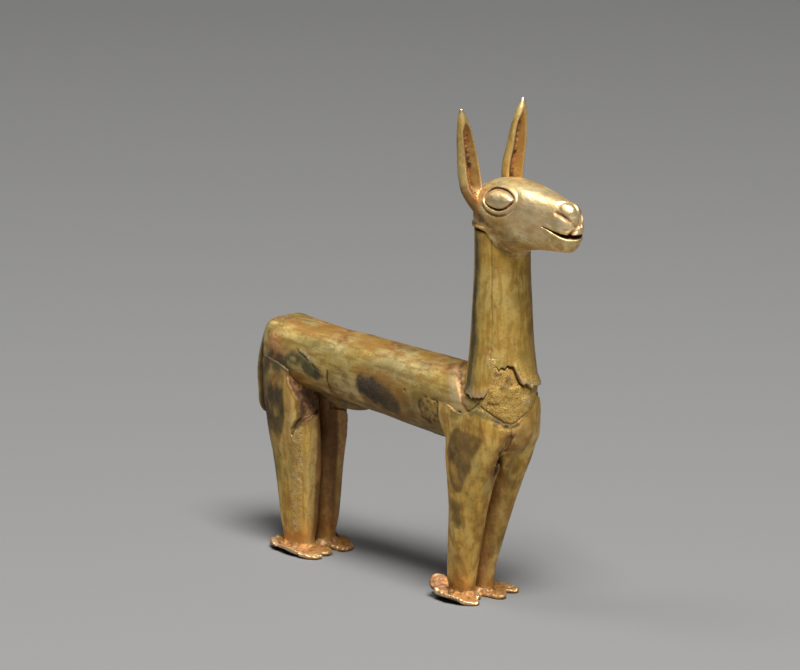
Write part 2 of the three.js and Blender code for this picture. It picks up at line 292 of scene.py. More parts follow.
def old_gold(name, gold, pale, brown, dull=0.52, metal=0.62, brushed=(0.2, 1, 1)):
    """Satin gold alloy, polished where wear has rubbed it, under films of brown, green, rust and dirt; the same
    masks also lay painted shade and painted highlights.
    """
    material = bpy.data.materials.new(name)
    material.use_nodes = True
    nodes, links = material.node_tree.nodes, material.node_tree.links
    shader = nodes["Principled BSDF"]
    place = nodes.new("ShaderNodeTexCoord").outputs["Object"]

    def noise(scale, detail=4.0, stretch=(1, 1, 1)):
        spread = nodes.new("ShaderNodeMapping")
        spread.inputs["Scale"].default_value = [1000 * s for s in stretch]
        links.new(place, spread.inputs["Vector"])
        made = nodes.new("ShaderNodeTexNoise")
        made.inputs["Scale"].default_value = scale
        made.inputs["Detail"].default_value = detail
        links.new(spread.outputs[0], made.inputs["Vector"])
        return made.outputs["Fac"]

    def ranged(value, low, high, new_low=0.0, new_high=1.0):
        made = nodes.new("ShaderNodeMapRange")
        made.interpolation_type = "SMOOTHSTEP"
        for socket, number in zip(("From Min", "From Max", "To Min", "To Max"), (low, high, new_low, new_high)):
            made.inputs[socket].default_value = number
        links.new(value, made.inputs["Value"])
        return made.outputs["Result"]

    def sums(kind, a, b):
        made = nodes.new("ShaderNodeMath")
        made.operation = kind
        for socket, value in zip(made.inputs, (a, b)):
            if isinstance(value, (int, float)):
                socket.default_value = value
            else:
                links.new(value, socket)
        return made.outputs[0]

    def times(a, b):
        return sums("MULTIPLY", a, b)

    def tint(base, colour, share):
        made = nodes.new("ShaderNodeMix")
        made.data_type = "RGBA"
        made.clamp_factor = True
        links.new(share, made.inputs["Factor"])
        for socket, value in ((made.inputs[6], base), (made.inputs[7], colour)):
            if isinstance(value, tuple):
                socket.default_value = (*value, 1)
            else:
                links.new(value, socket)
        return made.outputs[2]

    def strength(stain):
        made = nodes.new("ShaderNodeAttribute")
        made.attribute_name = stain
        return made.outputs["Fac"]

    broad = noise(0.17, 3)
    veil = noise(0.33, 5)
    cloud = noise(0.6, 5)
    fine = noise(2.8, 4)
    grain = noise(9.0, 3)
    lines = noise(1.6, 4, brushed)

    deep, worn, dark, brown_film_and_shade, rust, green, rose, crust = [strength(stain) for stain in stain_names]

    colour = tint(gold, pale, ranged(broad, 0.40, 0.62))
    # Besides stains and wear, these tints also lay painted shade (through the deep, dark and brown masks) and
    # painted highlights (through the pale wear tint and rose).
    films = (
        (brown, times(ranged(cloud, 0.47, 0.66), 0.7)),
        (brown, times(ranged(lines, 0.50, 0.62), 0.6)),
        (pale, times(ranged(lines, 0.48, 0.36), 0.6)),
        ((0.36, 0.26, 0.075), times(ranged(veil, 0.50, 0.64), 0.28)),
        ((0.16, 0.09, 0.03), times(ranged(fine, 0.58, 0.70), 0.35)),
        ((0.34, 0.16, 0.03), times(brown_film_and_shade, ranged(cloud, 0.3, 0.6, 0.6, 1))),
        ((0.17, 0.15, 0.05), times(green, ranged(cloud, 0.3, 0.62, 0.5, 1))),
        ((0.82, 0.54, 0.30), times(rose, 0.65)),
        ((0.40, 0.15, 0.05), times(rust, ranged(fine, 0.3, 0.6, 0.35, 1))),
        ((0.70, 0.44, 0.10), times(crust, ranged(fine, 0.35, 0.6, 0.35, 0.9))),
        ((0.20, 0.10, 0.03), times(crust, ranged(grain, 0.50, 0.62, 0, 0.75))),
        ((0.24, 0.14, 0.045), ranged(grain, 0.63, 0.72, 0, 0.35)),
        ((0.045, 0.033, 0.02), times(dark, ranged(fine, 0.25, 0.6, 0.8, 1))),
        ((0.92, 0.75, 0.46), times(worn, 0.55)),
        ((0.045, 0.018, 0.009), times(deep, ranged(cloud, 0.3, 0.6, 0.75, 1))),
    )
    for film_colour, share in films:
        colour = tint(colour, film_colour, share)
    links.new(colour, shader.inputs["Base Color"])

    # Stains and painted shade dull the metal alike.
    film_and_shade = times(deep, 0.92)
    for stain, share in ((dark, 0.7), (rust, 0.5), (brown_film_and_shade, 0.2), (green, 0.35), (crust, 0.3)):
        film_and_shade = sums("MAXIMUM", film_and_shade, times(stain, share))
    # Wear and painted highlights make the metal shinier.
    polish_and_highlight = sums("ADD", metal, times(worn, 0.5 * (1 - metal)))
    links.new(times(polish_and_highlight, sums("SUBTRACT", 1.0, film_and_shade)), shader.inputs["Metallic"])

    rough_here = sums("ADD", ranged(cloud, 0.3, 0.75, dull - 0.04, dull + 0.08), times(film_and_shade, 0.2))
    links.new(sums("SUBTRACT", rough_here, times(worn, 0.08)), shader.inputs["Roughness"])

    bump = nodes.new("ShaderNodeBump")
    bump.inputs["Distance"].default_value = 0.000048  # metres, the depth of the finest scratches
    relief = sums("ADD", times(fine, 0.9), times(grain, 0.4))
    relief = sums("ADD", relief, times(lines, 0.6))
    relief = sums("ADD", relief, times(times(crust, grain), 2.4))
    links.new(relief, bump.inputs["Height"])
    links.new(bump.outputs["Normal"], shader.inputs["Normal"])
    return material


trunk_rows = [
    (-41.9, 25.35, 4.15, 3.4, 4.4),
    (-41.4, 25.4, 4.38, 3.75, 4),
    (-39.5, 25.45, 4.42, 4.15, 3),
    (-34, 25.43, 4.44, 4.35, 2.15),
    (-22, 25.25, 4.64, 4.6, 2),
    (-9, 24.87, 5.0, 4.8, 2),
    (-2, 24.85, 4.95, 4.7, 2),
]
chest_rows = [(20.2, 2.4, 2.6), (20.8, 3.3, 3.5), (22.2, 4.0, 4.15), (25, 4.35, 4.4), (29.2, 4.4, 4.45)]
neck_rows = [
    (28.6, 4.62, 4.6),
    (30.2, 4.4, 4.42),
    (32.7, 4.09, 4.12),
    (36, 3.87, 3.87),
    (39.2, 3.74, 3.74),
    (42.4, 3.61, 3.61),
    (45.6, 3.54, 3.54),
    (48.6, 3.55, 3.55),
]
rump_end, tube_end = -41.9, 1.5  # the body tube runs on a little way inside the chest
core_low, core_top = 27.0, 32.6  # the chest's core, inside the neck
chest_top = 29.0
swelling_middle, swelling_radii = [-29.4, 0, 20.9], [4.7, 1.2, 1.25]

# By the angle round the neck: height of the torn rim, how far the chest lies inside the neck's sheet,
# and depth and height of the dark gap under the rim
torn_rim = [
    (-180, 28.9, 0.30, 0.10, 0.15),
    (-134, 28.1, 0.34, 0.10, 0.15),
    (-119, 27.6, 0.36, 0.30, 0.30),
    (-91, 27.7, 0.36, 0.35, 0.32),
    (-80, 27.6, 0.36, 0.35, 0.30),
    (-70, 28.0, 0.10, 0.10, 0.20),
    (-63.5, 28.9, 0.05, 0.02, 0.10),
    (-60, 30.6, 0.04, 0.02, 0.10),
    (-55, 31.3, 0.06, 0.10, 0.10),
    (-44, 31.5, 0.16, 0.22, 0.14),
    (-30, 31.6, 0.25, 0.32, 0.16),
    (-21.5, 31.5, 0.32, 0.50, 0.30),
    (-15, 30.5, 0.38, 0.50, 0.42),
    (-10, 29.6, 0.40, 0.50, 0.32),
    (3.4, 29.05, 0.38, 0.40, 0.22),
    (34, 28.8, 0.35, 0.35, 0.16),
    (60, 28.5, 0.30, 0.20, 0.12),
    (100, 28.3, 0.30, 0.12, 0.12),
    (140, 28.6, 0.30, 0.10, 0.12),
    (180, 28.9, 0.30, 0.10, 0.15),
]


def around(p):
    """Angle round the neck's axis in degrees: 0 in front, -90 on the animal's right."""
    return np.degrees(np.arctan2(p[:, 1], p[:, 0]))


def on_ring(turn, radius):
    """Points of a ring round the neck's axis, where the ragged rims take their waves from."""
    return np.stack([radius * np.cos(np.radians(turn)), radius * np.sin(np.radians(turn)), 0 * turn], 1)


def torn_edge(p):
    """The ragged rim's height, the chest's inset, and the gap's depth and height, round the neck."""
    turn = around(p)
    rim, inset, gap_depth, gap_height = (np.interp(turn, *np.array(torn_rim)[:, [0, k]].T) for k in (1, 2, 3, 4))
    ring = on_ring(turn, 4.4)
    return rim + 0.22 * ripple(ring, 0.8, 61) + 0.22 * ripple(ring, 0.28, 62), inset, gap_depth, gap_height


def trunk_form(p):
    x, y, z = p.T
    centre, half_height, half_width, power = along_rows(trunk_rows, x)
    tube = round_depth(y, z - centre, half_width, half_height, power)
    tube = shared(tube, rump_end - x, 0.7)
    tube = np.maximum(tube, x - tube_end)
    half_length, half_width = along_rows(chest_rows, z)
    chest = round_depth(x, y, half_length, half_width)
    chest = shared(chest, chest_rows[0][0] - z, 0.8)
    chest = np.maximum(chest, z - chest_top)
    half_length, half_width = along_rows(neck_rows, z)
    inset = np.interp(around(p), *np.array(torn_rim)[:, [0, 2]].T)
    core = round_depth(x, y, half_length - inset, half_width - inset)
    core = np.maximum(np.maximum(core, z - core_top), core_low - z)
    body = joined(tube, chest, 0.5)
    body = joined(body, core, 0.3)
    swelling = np.linalg.norm((p - swelling_middle) / swelling_radii, axis=1)
    return joined(body, 1.2 * (swelling - 1), 0.5)


chest_seam = [
    (-7.5, 0.6, 29.95), (-6.4, -1.0, 29.72), (-5.3, -2.4, 29.1), (-3.9, -3.4, 28.1), (-2.9, -4.0, 27.1),
    (-2.4, -4.3, 26.1), (-1.2, -4.4, 25.36),
]
chest_fold = [(-6.08, -2.38, 29.2), (-5.12, -3.24, 28.5), (-4.1, -3.99, 27.5), (-3.3, -4.38, 26.7)]
solder_pits = [
    (-4.52, -4.7, 25.37), (-4.2, -4.72, 25.3), (-2.92, -4.71, 24.9), (-2.6, -4.7, 24.95), (-2.0, -4.2, 24.7),
    (-13.12, -4.66, 25.9),
]
trunk_crack = [(-28.2, -4.5, 25.5), (-28.4, -4.3, 24.0), (-28.3, -4.0, 23.4), (-28.6, -3.4, 22.4)]
rump_wrinkles = [
    [(-34.4, -4.0, 27.5), (-33.8, -4.1, 27.1), (-32.7, -4.2, 26.8)],
    [(-32.9, -4.15, 26.9), (-31.6, -4.3, 26.3), (-30.6, -4.4, 25.9)],
    [(-31.0, -4.3, 26.2), (-30.2, -4.4, 25.8), (-29.3, -4.45, 25.6)],
]
scar = [
    (-10.2, 24.5), (-9.6, 25.4), (-8.2, 25.8), (-7.0, 25.5), (-6.4, 24.8), (-6.9, 23.7), (-8.2, 22.7),
    (-9.5, 22.9), (-10.1, 23.7),
]
scar_outline = rounded_outline(scar)
right_rim = [
    (-180, 26.2), (-150, 25.9), (-133, 25.5), (-122, 24.95), (-114, 24.8), (-98, 25.5), (-83, 26.6),
    (-72.5, 26.2), (-61.7, 25.5), (-51.7, 24.97), (-40, 24.45), (-26.5, 24.1), (0, 23.0), (180, 23.0),
]
left_rim = [
    (-180, 26.2), (-40, 24.0), (-26.5, 24.1), (-10.5, 24.82), (11.8, 25.95), (29, 27.3), (60, 27.4), (90, 26.6),
    (115, 25.2), (140, 25.7), (180, 26.2),
]
sheets_meet = -26.5  # where the right leg's sheet meets the left leg's, in degrees round the neck


def leg_sheet_rim(p):
    """Heights of the right and the left front leg's upper rim round the chest, and the waves in both."""
    turn = around(p)
    ring = on_ring(turn, 4.6)
    right = np.interp(turn, *np.array(right_rim).T)
    left = np.interp(turn, *np.array(left_rim).T)
    return right, left, 0.07 * ripple(ring, 0.7, 201) + 0.04 * ripple(ring, 0.3, 202)


def chest_rim(p):
    """Height of the leg sheets' rim round the chest, and 1 where its broken line shows."""
    turn = around(p)
    right, left, jag = leg_sheet_rim(p)
    shows = spots(p, 0.8, 37, -0.7, 0.1) * (1 - 0.5 * ease(turn, -30, -15))
    return np.where(turn < sheets_meet, right, left) + jag, shows * ease(turn, -112, -98) * ease(turn, 90, 70)


def on_core(p):
    """1 on the chest's core, where the torn neck leaves it bare."""
    from_axis = np.hypot(p[:, 0], p[:, 1])
    return ease(p[:, 2], core_low, core_low + 0.4) * ease(from_axis, 3.4, 3.8) * ease(from_axis, 5.4, 4.9)


def on_chest_patch(p):
    """1 on the grainy solder between the torn neck and the leg sheets."""
    turn = around(p)
    right, left, _ = leg_sheet_rim(p)
    low = np.where(turn < sheets_meet, right, left)
    inside = ease(p[:, 2], low - 0.2, low + 0.2) * ease(turn, -104, -84) * ease(turn, 80, 60)
    return inside * ease(np.hypot(p[:, 0], p[:, 1]), 2.0, 2.6)


def off_scar(p):
    """Distance outside the round scar on the right flank."""
    off = outline_depth(p[:, 0], p[:, 2], scar_outline)
    return np.where(p[:, 1] < 0, off, 9) + 0.42 * rough(p, 0.8, 31)


def trunk_worked(p, depth):
    depth = depth + hammered(p, 11, 0.04)
    depth += groove(p, chest_seam, 0.5, 0.14) * spots(p, 0.7, 35, -0.9, 0.0)
    depth -= 0.11 * ease(off_line(p, chest_fold), 1.7, 0.1)
    depth += groove(p, trunk_crack, 0.22, 0.45)
    depth += pits(p, solder_pits, 0.26, 0.42)
    for wrinkle in rump_wrinkles:
        broken = spots(p, 0.6, 34, -0.5, 0.1)
        depth -= 0.09 * broken * ease(off_line(p, wrinkle), 0.3, 0.04)
        depth += 0.09 * broken * ease(off_line(p - [-0.15, 0, -0.35], wrinkle), 0.26, 0.04)
    near_scar = (np.abs(p[:, 0] + 8.3) < 3) & (np.abs(p[:, 2] - 24.2) < 3) & (p[:, 1] < 0)
    off = np.full(len(p), 9.0)
    off[near_scar] = off_scar(p[near_scar])
    depth += 0.12 * ease(np.abs(off + 0.05), 0.34, 0.05) * spots(p, 0.5, 32, -0.3, 0.2)
    depth += 0.09 * ease(off, 0.3, -0.3) * rough(p, 0.45, 33)
    rim, _, gap_depth, gap_height = torn_edge(p)
    under_rim = rim - p[:, 2]
    gap = gap_depth * ease(under_rim, -0.3, -0.05) * ease(under_rim, 2.0 * gap_height, 0.8 * gap_height)
    depth += gap * on_core(p)
    low, rim_shows = chest_rim(p)
    depth += 0.12 * rim_shows * ease(np.abs(p[:, 2] - low - 0.1), 0.22, 0.04)
    grain = on_chest_patch(p)
    depth += grain * (0.09 * rough(p, 1.1, 41) + 0.05 * rough(p, 0.4, 43, 2))
    return depth


def trunk_stains_and_painted_light(p, depth):
    x, y, z = p.T
    right_side = ease(-y, 0.2, 1.0)
    top = ease(z + 0.35 * rough(p * [0.4, 1, 1], 1.2, 60), 28.6, 29.3)
    seam = ease(off_line(p, chest_seam), 0.7, 0.2)
    patch_here = on_chest_patch(p)
    off = off_scar(p)
    ring = ease(np.abs(off + 0.05), 0.34, 0.08) * spots(p, 0.5, 32, -0.4, 0.1)
    # under and lower darken the trunk towards its underside: under is painted shade on the belly, lower is
    # partly brown patina and partly painted shade on the lower flank.
    under = ease(z, 22.4, 21.0) * ease(np.abs(x + 24), 22, 14)
    lower = ease(z + 0.5 * rough(p * [0.4, 1, 1], 1.5, 38), 24.9, 22.8)
    stain = blot(
        p,
        [
            (-22.3, 26.0), (-20.4, 26.6), (-17.6, 26.1), (-15.4, 25.1), (-13.9, 23.9), (-14.2, 22.5),
            (-16.3, 21.9), (-18.4, 22.7), (-20.6, 23.3), (-22.1, 24.4),
        ],
        0.5, 0.45,
    )
    halo = blot(
        p,
        [
            (-22.6, 26.7), (-20.5, 27.6), (-16.5, 27.7), (-13.2, 27.0), (-11.9, 25.4), (-12.4, 23.6),
            (-13.6, 21.8), (-17, 21.0), (-21.5, 22.3),
        ],
        0.9, 0.7, 8,
    )
    rump_dark = blot(
        p,
        [
            (-40.4, 25.4), (-38.6, 26.0), (-36.4, 26.3), (-34.6, 26.9), (-32.4, 26.2), (-30.2, 25.4),
            (-29.2, 24.6), (-31.5, 24.2), (-34.4, 24.9), (-36.2, 23.6), (-38.2, 22.8), (-40.6, 23.0),
        ],
        0.5, 0.6, 9,
    )
    rim, _, gap_depth, gap_height = torn_edge(p)
    under_rim = rim - z
    # The gap under the neck's torn rim is painted near black as its shadow.
    gap = (
        ease(gap_depth, 0.05, 0.3) * ease(under_rim, -0.4, -0.1)
        * ease(under_rim, 2.2 * gap_height, 0.9 * gap_height)
    )
    gap = gap * on_core(p)
    # Painted highlight: a soft pale rose band along the chest fold, besides its raised ridge.
    fold = ease(off_line(p, chest_fold), 1.6, 0.4)
    wrinkle = (
        ease(np.minimum(*[off_line(p, line) for line in rump_wrinkles[:2]]), 0.26, 0.08)
        * spots(p, 0.6, 34, -0.5, 0.1)
    )
    low, rim_shows = chest_rim(p)
    rim_line = rim_shows * ease(np.abs(z - low - 0.1), 0.22, 0.08)
    return {
        "deep": most(
            # Painted shadow in the gap under the torn rim, beside real dirt in dents, the crack and the pits.
            ease(-depth, 0.08, 0.34), 0.95 * gap, 0.95 * ease(off_line(p, trunk_crack), 0.26, 0.1),
            ease(off_points(p, solder_pits), 0.3, 0.14),
        ),
        "dark": most(
            stain * (0.80 + 0.18 * ease(x, -15.5, -19)),
            0.85 * ring,
            0.75 * ease(off_line(p, chest_seam), 0.34, 0.1) * spots(p, 0.7, 36, -0.5, 0.1),
            0.6 * ease(off, 0.8, 0.1) * spots(p, 0.45, 33, 0.1, 0.35),
            0.8 * rump_dark * spots(p, 0.9, 51, -0.7, 0.2),
            # Painted shade on the belly.
            0.7 * under * spots(p, 2.0, 52, -0.7, 0.2),
            0.75 * rim_line,
            # Painted shade: darker towards the bottom of the flank.
            0.5 * ease(z + 0.5 * rough(p * [0.4, 1, 1], 1.2, 39), 22.8, 21.2) * ease(x, -5, -7),
            0.55 * top * spots(p * [0.5, 1, 1], 0.9, 56, 0.2, 0.5),
            0.35 * patch(p, [(-26.6, -4.5, 26.3), (-24.6, -4.5, 25.9)], 0.12, 1.5, 0.2),
            0.3 * patch(p, [(-19.6, -3.9, 27.9), (-14.8, -3.9, 27.6), (-12.0, -4.0, 27.6)], 0.10, 2.0, 0.25),
            0.4 * patch(p, [(-39.7, -4.0, 24.0), (-40.4, -3.6, 28.4)], 0.15, 1.6, 0.3) * right_side,
        ),
        "brown": most(
            0.85 * top * spots(p * [0.4, 1, 1], 1.6, 53, -1.0, 0.4),
            0.8 * halo,
            # Brown on the lower flank: partly patina, partly painted shade.
            0.95 * lower * spots(p * [0.5, 1, 1], 1.8, 54, -0.6, 0.5),
            0.9 * seam,
            0.5 * patch_here * spots(p, 1.3, 40, -0.1, 0.5),
            0.5 * blot(
                p,
                [
                    (-3.9, 28.6), (-2.4, 27.8), (-1.6, 26.4), (-1.4, 25.2), (-2.6, 25.6), (-3.2, 26.6),
                    (-4.4, 27.7),
                ],
                0.3, 0.3, 10,
            ),
            0.8 * blot(
                p,
                [
                    (-11.2, 25.9), (-8.2, 26.8), (-5.6, 26.0), (-5.0, 24.0), (-6.6, 22.2), (-9.6, 21.8),
                    (-11.2, 23.4),
                ],
                0.6, 0.5, 11,
            ),
        ),
        "rust": most(
            0.8 * blot(
                p, [(-40.2, 28.2), (-38.6, 28.4), (-37.4, 27.4), (-36.2, 26.4), (-37.6, 25.2), (-39.6, 24.8)],
                0.5, 0.6, 12,
            ),
            0.7 * seam * spots(p, 0.8, 57, -0.4, 0.4),
            0.45 * top * spots(p * [0.4, 1, 1], 1.4, 58, -0.2, 0.5),
        ),
        "green": most(
            rump_dark,
            0.75 * blot(
                p, [(-34.5, 28.6), (-28.4, 28.5), (-24.5, 27.6), (-25.5, 26.4), (-29, 27.4), (-33.8, 27.5)],
                0.5, 0.6, 13,
            ),
            0.5 * patch(p, [(-21, -3.9, 27.6), (-16.9, -3.7, 28.0), (-12, -4.1, 27.5)], 0.3, 1.6, 0.5),
            0.55 * patch(p, [(-40.4, -3.3, 28.9), (-40.0, -3.7, 27.6)], 0.4, 1.2, 0.3),
            0.4 * patch(p, [(-27.4, -4.5, 26.6), (-24.0, -4.5, 25.6)], 0.35, 1.2, 0.4),
            0.45 * spots(p * [0.5, 1, 1], 3.0, 55, -0.1, 0.6) * (1 - top),
        ),
        # Painted highlight: pale rose on the chest fold.
        "rose": 0.6 * fold * spots(p, 0.9, 59, -0.6, 0.2),
        "crust": most(patch_here, 0.35 * ease(off, 0.4, -0.4)),
        "worn": most(
            ease(depth, 0.05, 0.16) * (1 - 0.6 * fold),
            0.7 * wrinkle,
            0.5 * patch(p, [(-41.4, -2.6, 29.2), (-40.6, -3.6, 27.0)], 0.18, 1.4, 0.2),
            0.6 * patch(p, [(-24.9, -4.2, 27.2), (-24.6, -4.3, 26.9)], 0.10, 1.2, 0.1),
        ),
    }


body_gold = old_gold("body_gold", (0.61, 0.42, 0.115), (0.73, 0.57, 0.25), (0.36, 0.20, 0.045), 0.5, 0.7)
trunk = raise_sheet(
    "body_tube", (-42.6, -5.2, 18.9), (5.2, 5.2, 33.2), 0.15, trunk_form, trunk_worked, trunk_stains_and_painted_light, 0.7
)
trunk.data.materials.append(body_gold)
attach(trunk, "root")
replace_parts(trunk, "trunk")


# Neck tube
# The neck is a second sheet rolled to a tube, its edges soldered in an upright seam on the right side.
# It was soldered on the chest, where its lower rim has torn and stands off in a ragged flare.
neck_top = 48.4
neck_seam = [
    (1.45, -3.21, 47.5), (1.56, -3.22, 43.16), (1.67, -3.3, 40.0), (1.84, -3.36, 36.85), (1.85, -3.53, 34.3),
    (1.92, -3.75, 31.3),
]
neck_crease = [(3.63, -1.46, 35.4), (3.72, -1.37, 34.56), (3.81, -1.28, 33.6)]


def neck_form(p):
    half_length, half_width = along_rows(neck_rows, p[:, 2])
    tube = round_depth(p[:, 0], p[:, 1], half_length, half_width)
    rim = torn_edge(p)[0]
    tube = shared(tube, rim - p[:, 2], 0.08)
    return np.maximum(tube, p[:, 2] - neck_top)


def lip_flare(p):
    """How far the torn lip stands out, right above the rim."""
    turn = around(p)
    share = (
        0.22 * ease(turn, -128, -112) * ease(turn, -62, -72)
        + 0.26 * ease(turn, -26, -16) * ease(turn, 75, 55)
    )
    return share * ease(p[:, 2] - torn_edge(p)[0], 1.5, 0.0)


def neck_worked(p, depth):
    depth = depth + hammered(p * [1, 1, 0.45], 71, 0.028)
    depth += groove(p, neck_seam, 0.12, 0.10)
    depth += groove(p, neck_crease, 0.10, 0.10)
    flare = lip_flare(p)
    return depth - flare * (1 + 0.4 * rough(p, 0.6, 72))


def neck_stains_and_painted_light(p, depth):
    turn = around(p)
    z = p[:, 2]
    low = ease(z, 34, 31)
    # band follows a stripe of painted shade down the neck's right side, towards the back, where the tube turns
    # away from the soft box.
    band = turn + 107 + 3.5 * ripple(p * [1, 1, 0.5], 2.5, 81)
    above_rim = z - torn_edge(p)[0]
    lip = ease(lip_flare(p), 0.02, 0.12)
    return {
        "deep": 0.0,  # no dirt sits in the neck's shallow dents, only on its seam and crease
        "dark": most(
            # Painted shade: the dark stripe down the neck's right rear side.
            0.85 * ease(np.abs(band + 1), 10, 5) * ease(z, 48.5, 46.5)
            * spots(p * [1, 1, 0.4], 1.1, 82, -0.8, 0.0),
            0.55 * ease(off_line(p, neck_seam), 0.14, 0.04),
            # Painted shade: the neck's left side, turned away from the soft box, is darkened.
            0.25 * ease(turn, 22, 40) * ease(turn, 70, 55),
        ),
        "brown": most(
            # Painted shade: the neck's left side is browned where it turns away from the light.
            0.5 * ease(turn, 0, 30) * ease(turn, 120, 70),
            0.5 * ease(z, 45.2, 46.8) * ease(turn, -75, -60),
            0.4 * ease(np.abs(turn + 66 + 4 * ripple(p, 1.5, 84)), 8, 3) * ease(z, 33, 30),
            0.3 * spots(p * [1, 1, 0.3], 1.6, 85, 0.0, 0.6),
        ),
        "rust": most(
            0.8 * patch(p, [(1.9, -3.56, 33.9), (1.6, -3.7, 33.2)], 0.22, 1.2, 0.35),
            0.6 * patch(p, [(1.9, -3.7, 32.6), (1.8, -3.8, 31.6)], 0.12, 1.2, 0.2),
            0.6 * ease(off_line(p, neck_crease), 0.25, 0.05),
        ),
        "green": most(
            # Green round the stripe of painted shade: partly patina, partly painted shade.
            0.8 * ease(np.abs(band), 20, 9),
            0.45 * low * ease(np.abs(turn + 45), 22, 8),
            0.2 * spots(p * [1, 1, 0.4], 2.2, 83, 0.0, 0.7),
        ),
        "rose": 0.5 * lip * ease(turn, -60, -75),
        "crust": 0.8 * low * ease(turn, -24, -12) * ease(turn, 50, 30),
        "worn": most(
            0.8 * ease(above_rim, 0.45, 0.05) * lip,
            # Painted highlight: a pale stripe near the neck's right rear edge stands for a reflection there.
            0.5 * ease(np.abs(turn + 126), 8, 3),
        ),
    }


neck_gold = old_gold(
    "neck_gold", (0.80, 0.50, 0.10), (0.86, 0.61, 0.18), (0.54, 0.29, 0.05), 0.50, 0.72, (1, 1, 0.2),
)
neck = raise_sheet("neck_tube", (-5.0, -5.0, 27.0), (5.2, 5.1, 48.7), 0.12, neck_form, neck_worked, neck_stains_and_painted_light)
neck.data.materials.append(neck_gold)
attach(neck, "root")
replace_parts(neck, "neck")


# Head
# The head is worked from thicker sheet over a form and chased with fine punches: almond eyes inside two
# lids, slit nostrils, a split upper lip and a mouth left open. Its collar laps over the neck.
head_rows = [
    (-3.55, 50.3, 1.6, 1.5, 2),
    (-3.2, 50.4, 2.6, 2.5, 2),
    (-2.0, 50.7, 3.35, 3.25, 2),
    (0.6, 50.9, 4.05, 3.75, 2.1),
    (3.2, 50.55, 4.6, 3.6, 2.2),
    (6.0, 50.75, 4.1, 3.2, 2.3),
    (9, 50.7, 3.6, 2.65, 2.3),
    (11.4, 50.55, 3.25, 2.1, 2.2),
    (12.9, 50.4, 2.75, 1.6, 2.1),
    (13.7, 50.4, 1.9, 0.9, 2),
]
collar_edge = [
    (-180, 48.6), (-100, 48.8), (-79, 48.6), (-70, 47.95), (-61, 47.2), (-55, 46.75), (-37, 46.1), (-20, 45.4),
    (4, 45.1), (30, 45.6), (55, 46.7), (79, 48.5), (100, 48.8), (180, 48.6),
]


def collar_height(p):
    """Height of the collar's lower edge, by the angle round the neck."""
    return np.interp(around(p), *np.array(collar_edge).T)


def head_form(p):
    x, y, z = p.T
    centre, half_height, half_width, power = along_rows(head_rows, x)
    skull = round_depth(y, z - centre, half_width, half_height, power)
    skull = shared(skull, -3.75 - x, 0.8)
    skull = shared(skull, x - 13.75, 0.9)
    nape = np.hypot(x, y) - 3.66 - 20 * ease(z, 51.0, 53.5) - 20 * ease(x, -0.8, 1.2)
    skull = shared(skull, nape, 0.3)
    half_length, half_width = along_rows(neck_rows, z)
    collar = round_depth(x, y, half_length + 0.16, half_width + 0.16)
    collar = shared(collar, collar_height(p) - z, 0.1)
    collar = np.maximum(collar, z - 49)
    return joined(skull, collar, 0.6)


eye = [
    (0.4, 52.72), (0.66, 53.52), (1.4, 53.98), (2.88, 54.02), (4.1, 53.75), (5.01, 53.12), (4.19, 52.18),
    (3.14, 51.77), (2.01, 51.82), (0.97, 52.18),
]
eye_outline = rounded_outline(eye)
lower_lid = [
    (0.3, 0, 51.75), (1.0, 0, 51.25), (1.9, 0, 50.95), (2.9, 0, 50.9), (3.8, 0, 51.1), (4.6, 0, 51.5),
    (5.2, 0, 52.0),
]
nostril = [
    (11.59, -1.68, 52.5), (12.28, -1.49, 52.35), (13.06, -1.2, 51.9), (13.6, -0.87, 51.35), (13.7, -0.45, 50.9),
]
lip_cleft = [
    (13.6, 0.75, 52.0), (13.75, 0.35, 51.4), (13.8, -0.15, 50.9), (13.75, -0.5, 50.4), (13.3, -1.0, 49.95),
]
nose_valley = [(12.0, 0.25, 53.9), (13.3, 0.3, 52.9), (13.75, 0.4, 52.2)]
snout_crease = [(11.35, -1.13, 53.4), (11.65, -0.57, 53.6), (12.05, 0.4, 53.5)]
jaw_groove = [(4.4, -2.75, 47.62), (5.57, -2.63, 47.9), (6.56, -2.25, 47.68), (7.93, -1.65, 47.4)]
mouth_line = [
    (9.7, -2.6, 50.62), (10.5, -2.4, 50.5), (11.44, -2.05, 50.15), (12.3, -1.6, 49.88), (13.2, -0.9, 49.62),
    (14.2, 0, 49.5),
]
mouth_depth = 0.95
chin_pits = [(12.98, -1.05, 48.37), (12.4, -1.35, 48.31), (4.87, -2.7, 47.75), (10.3, -2.15, 48.96)]


def both_sides(p):
    """The head's marks are chased alike on both sides, so they are worked out on the right."""
    return p * np.array([1, 0, 1]) - np.abs(p) * np.array([0, 1, 0])


def off_eye(q):
    """Distance outside the eye's almond outline, and 1 on the cheek that it is chased in."""
    near = (np.abs(q[:, 0] - 2.7) < 4.5) & (np.abs(q[:, 2] - 52.6) < 3.4) & (q[:, 1] < -0.8)
    off = np.full(len(q), 9.0)
    off[near] = outline_depth(q[near, 0], q[near, 2], eye_outline)
    return off, ease(-q[:, 1], 0.9, 1.7)


def mouth_level(x):
    """Height of the mouth's slit along the muzzle."""
    mouth = np.array(mouth_line)
    return np.interp(x, mouth[:, 0], mouth[:, 2])


def dome(p, middle, radii, height):
    """How far a rounded lump stands out of the sheet."""
    off = np.linalg.norm((p - np.array(middle)) / np.array(radii), axis=1)
    return height * np.clip(1 - off**2, 0, 1) ** 0.7


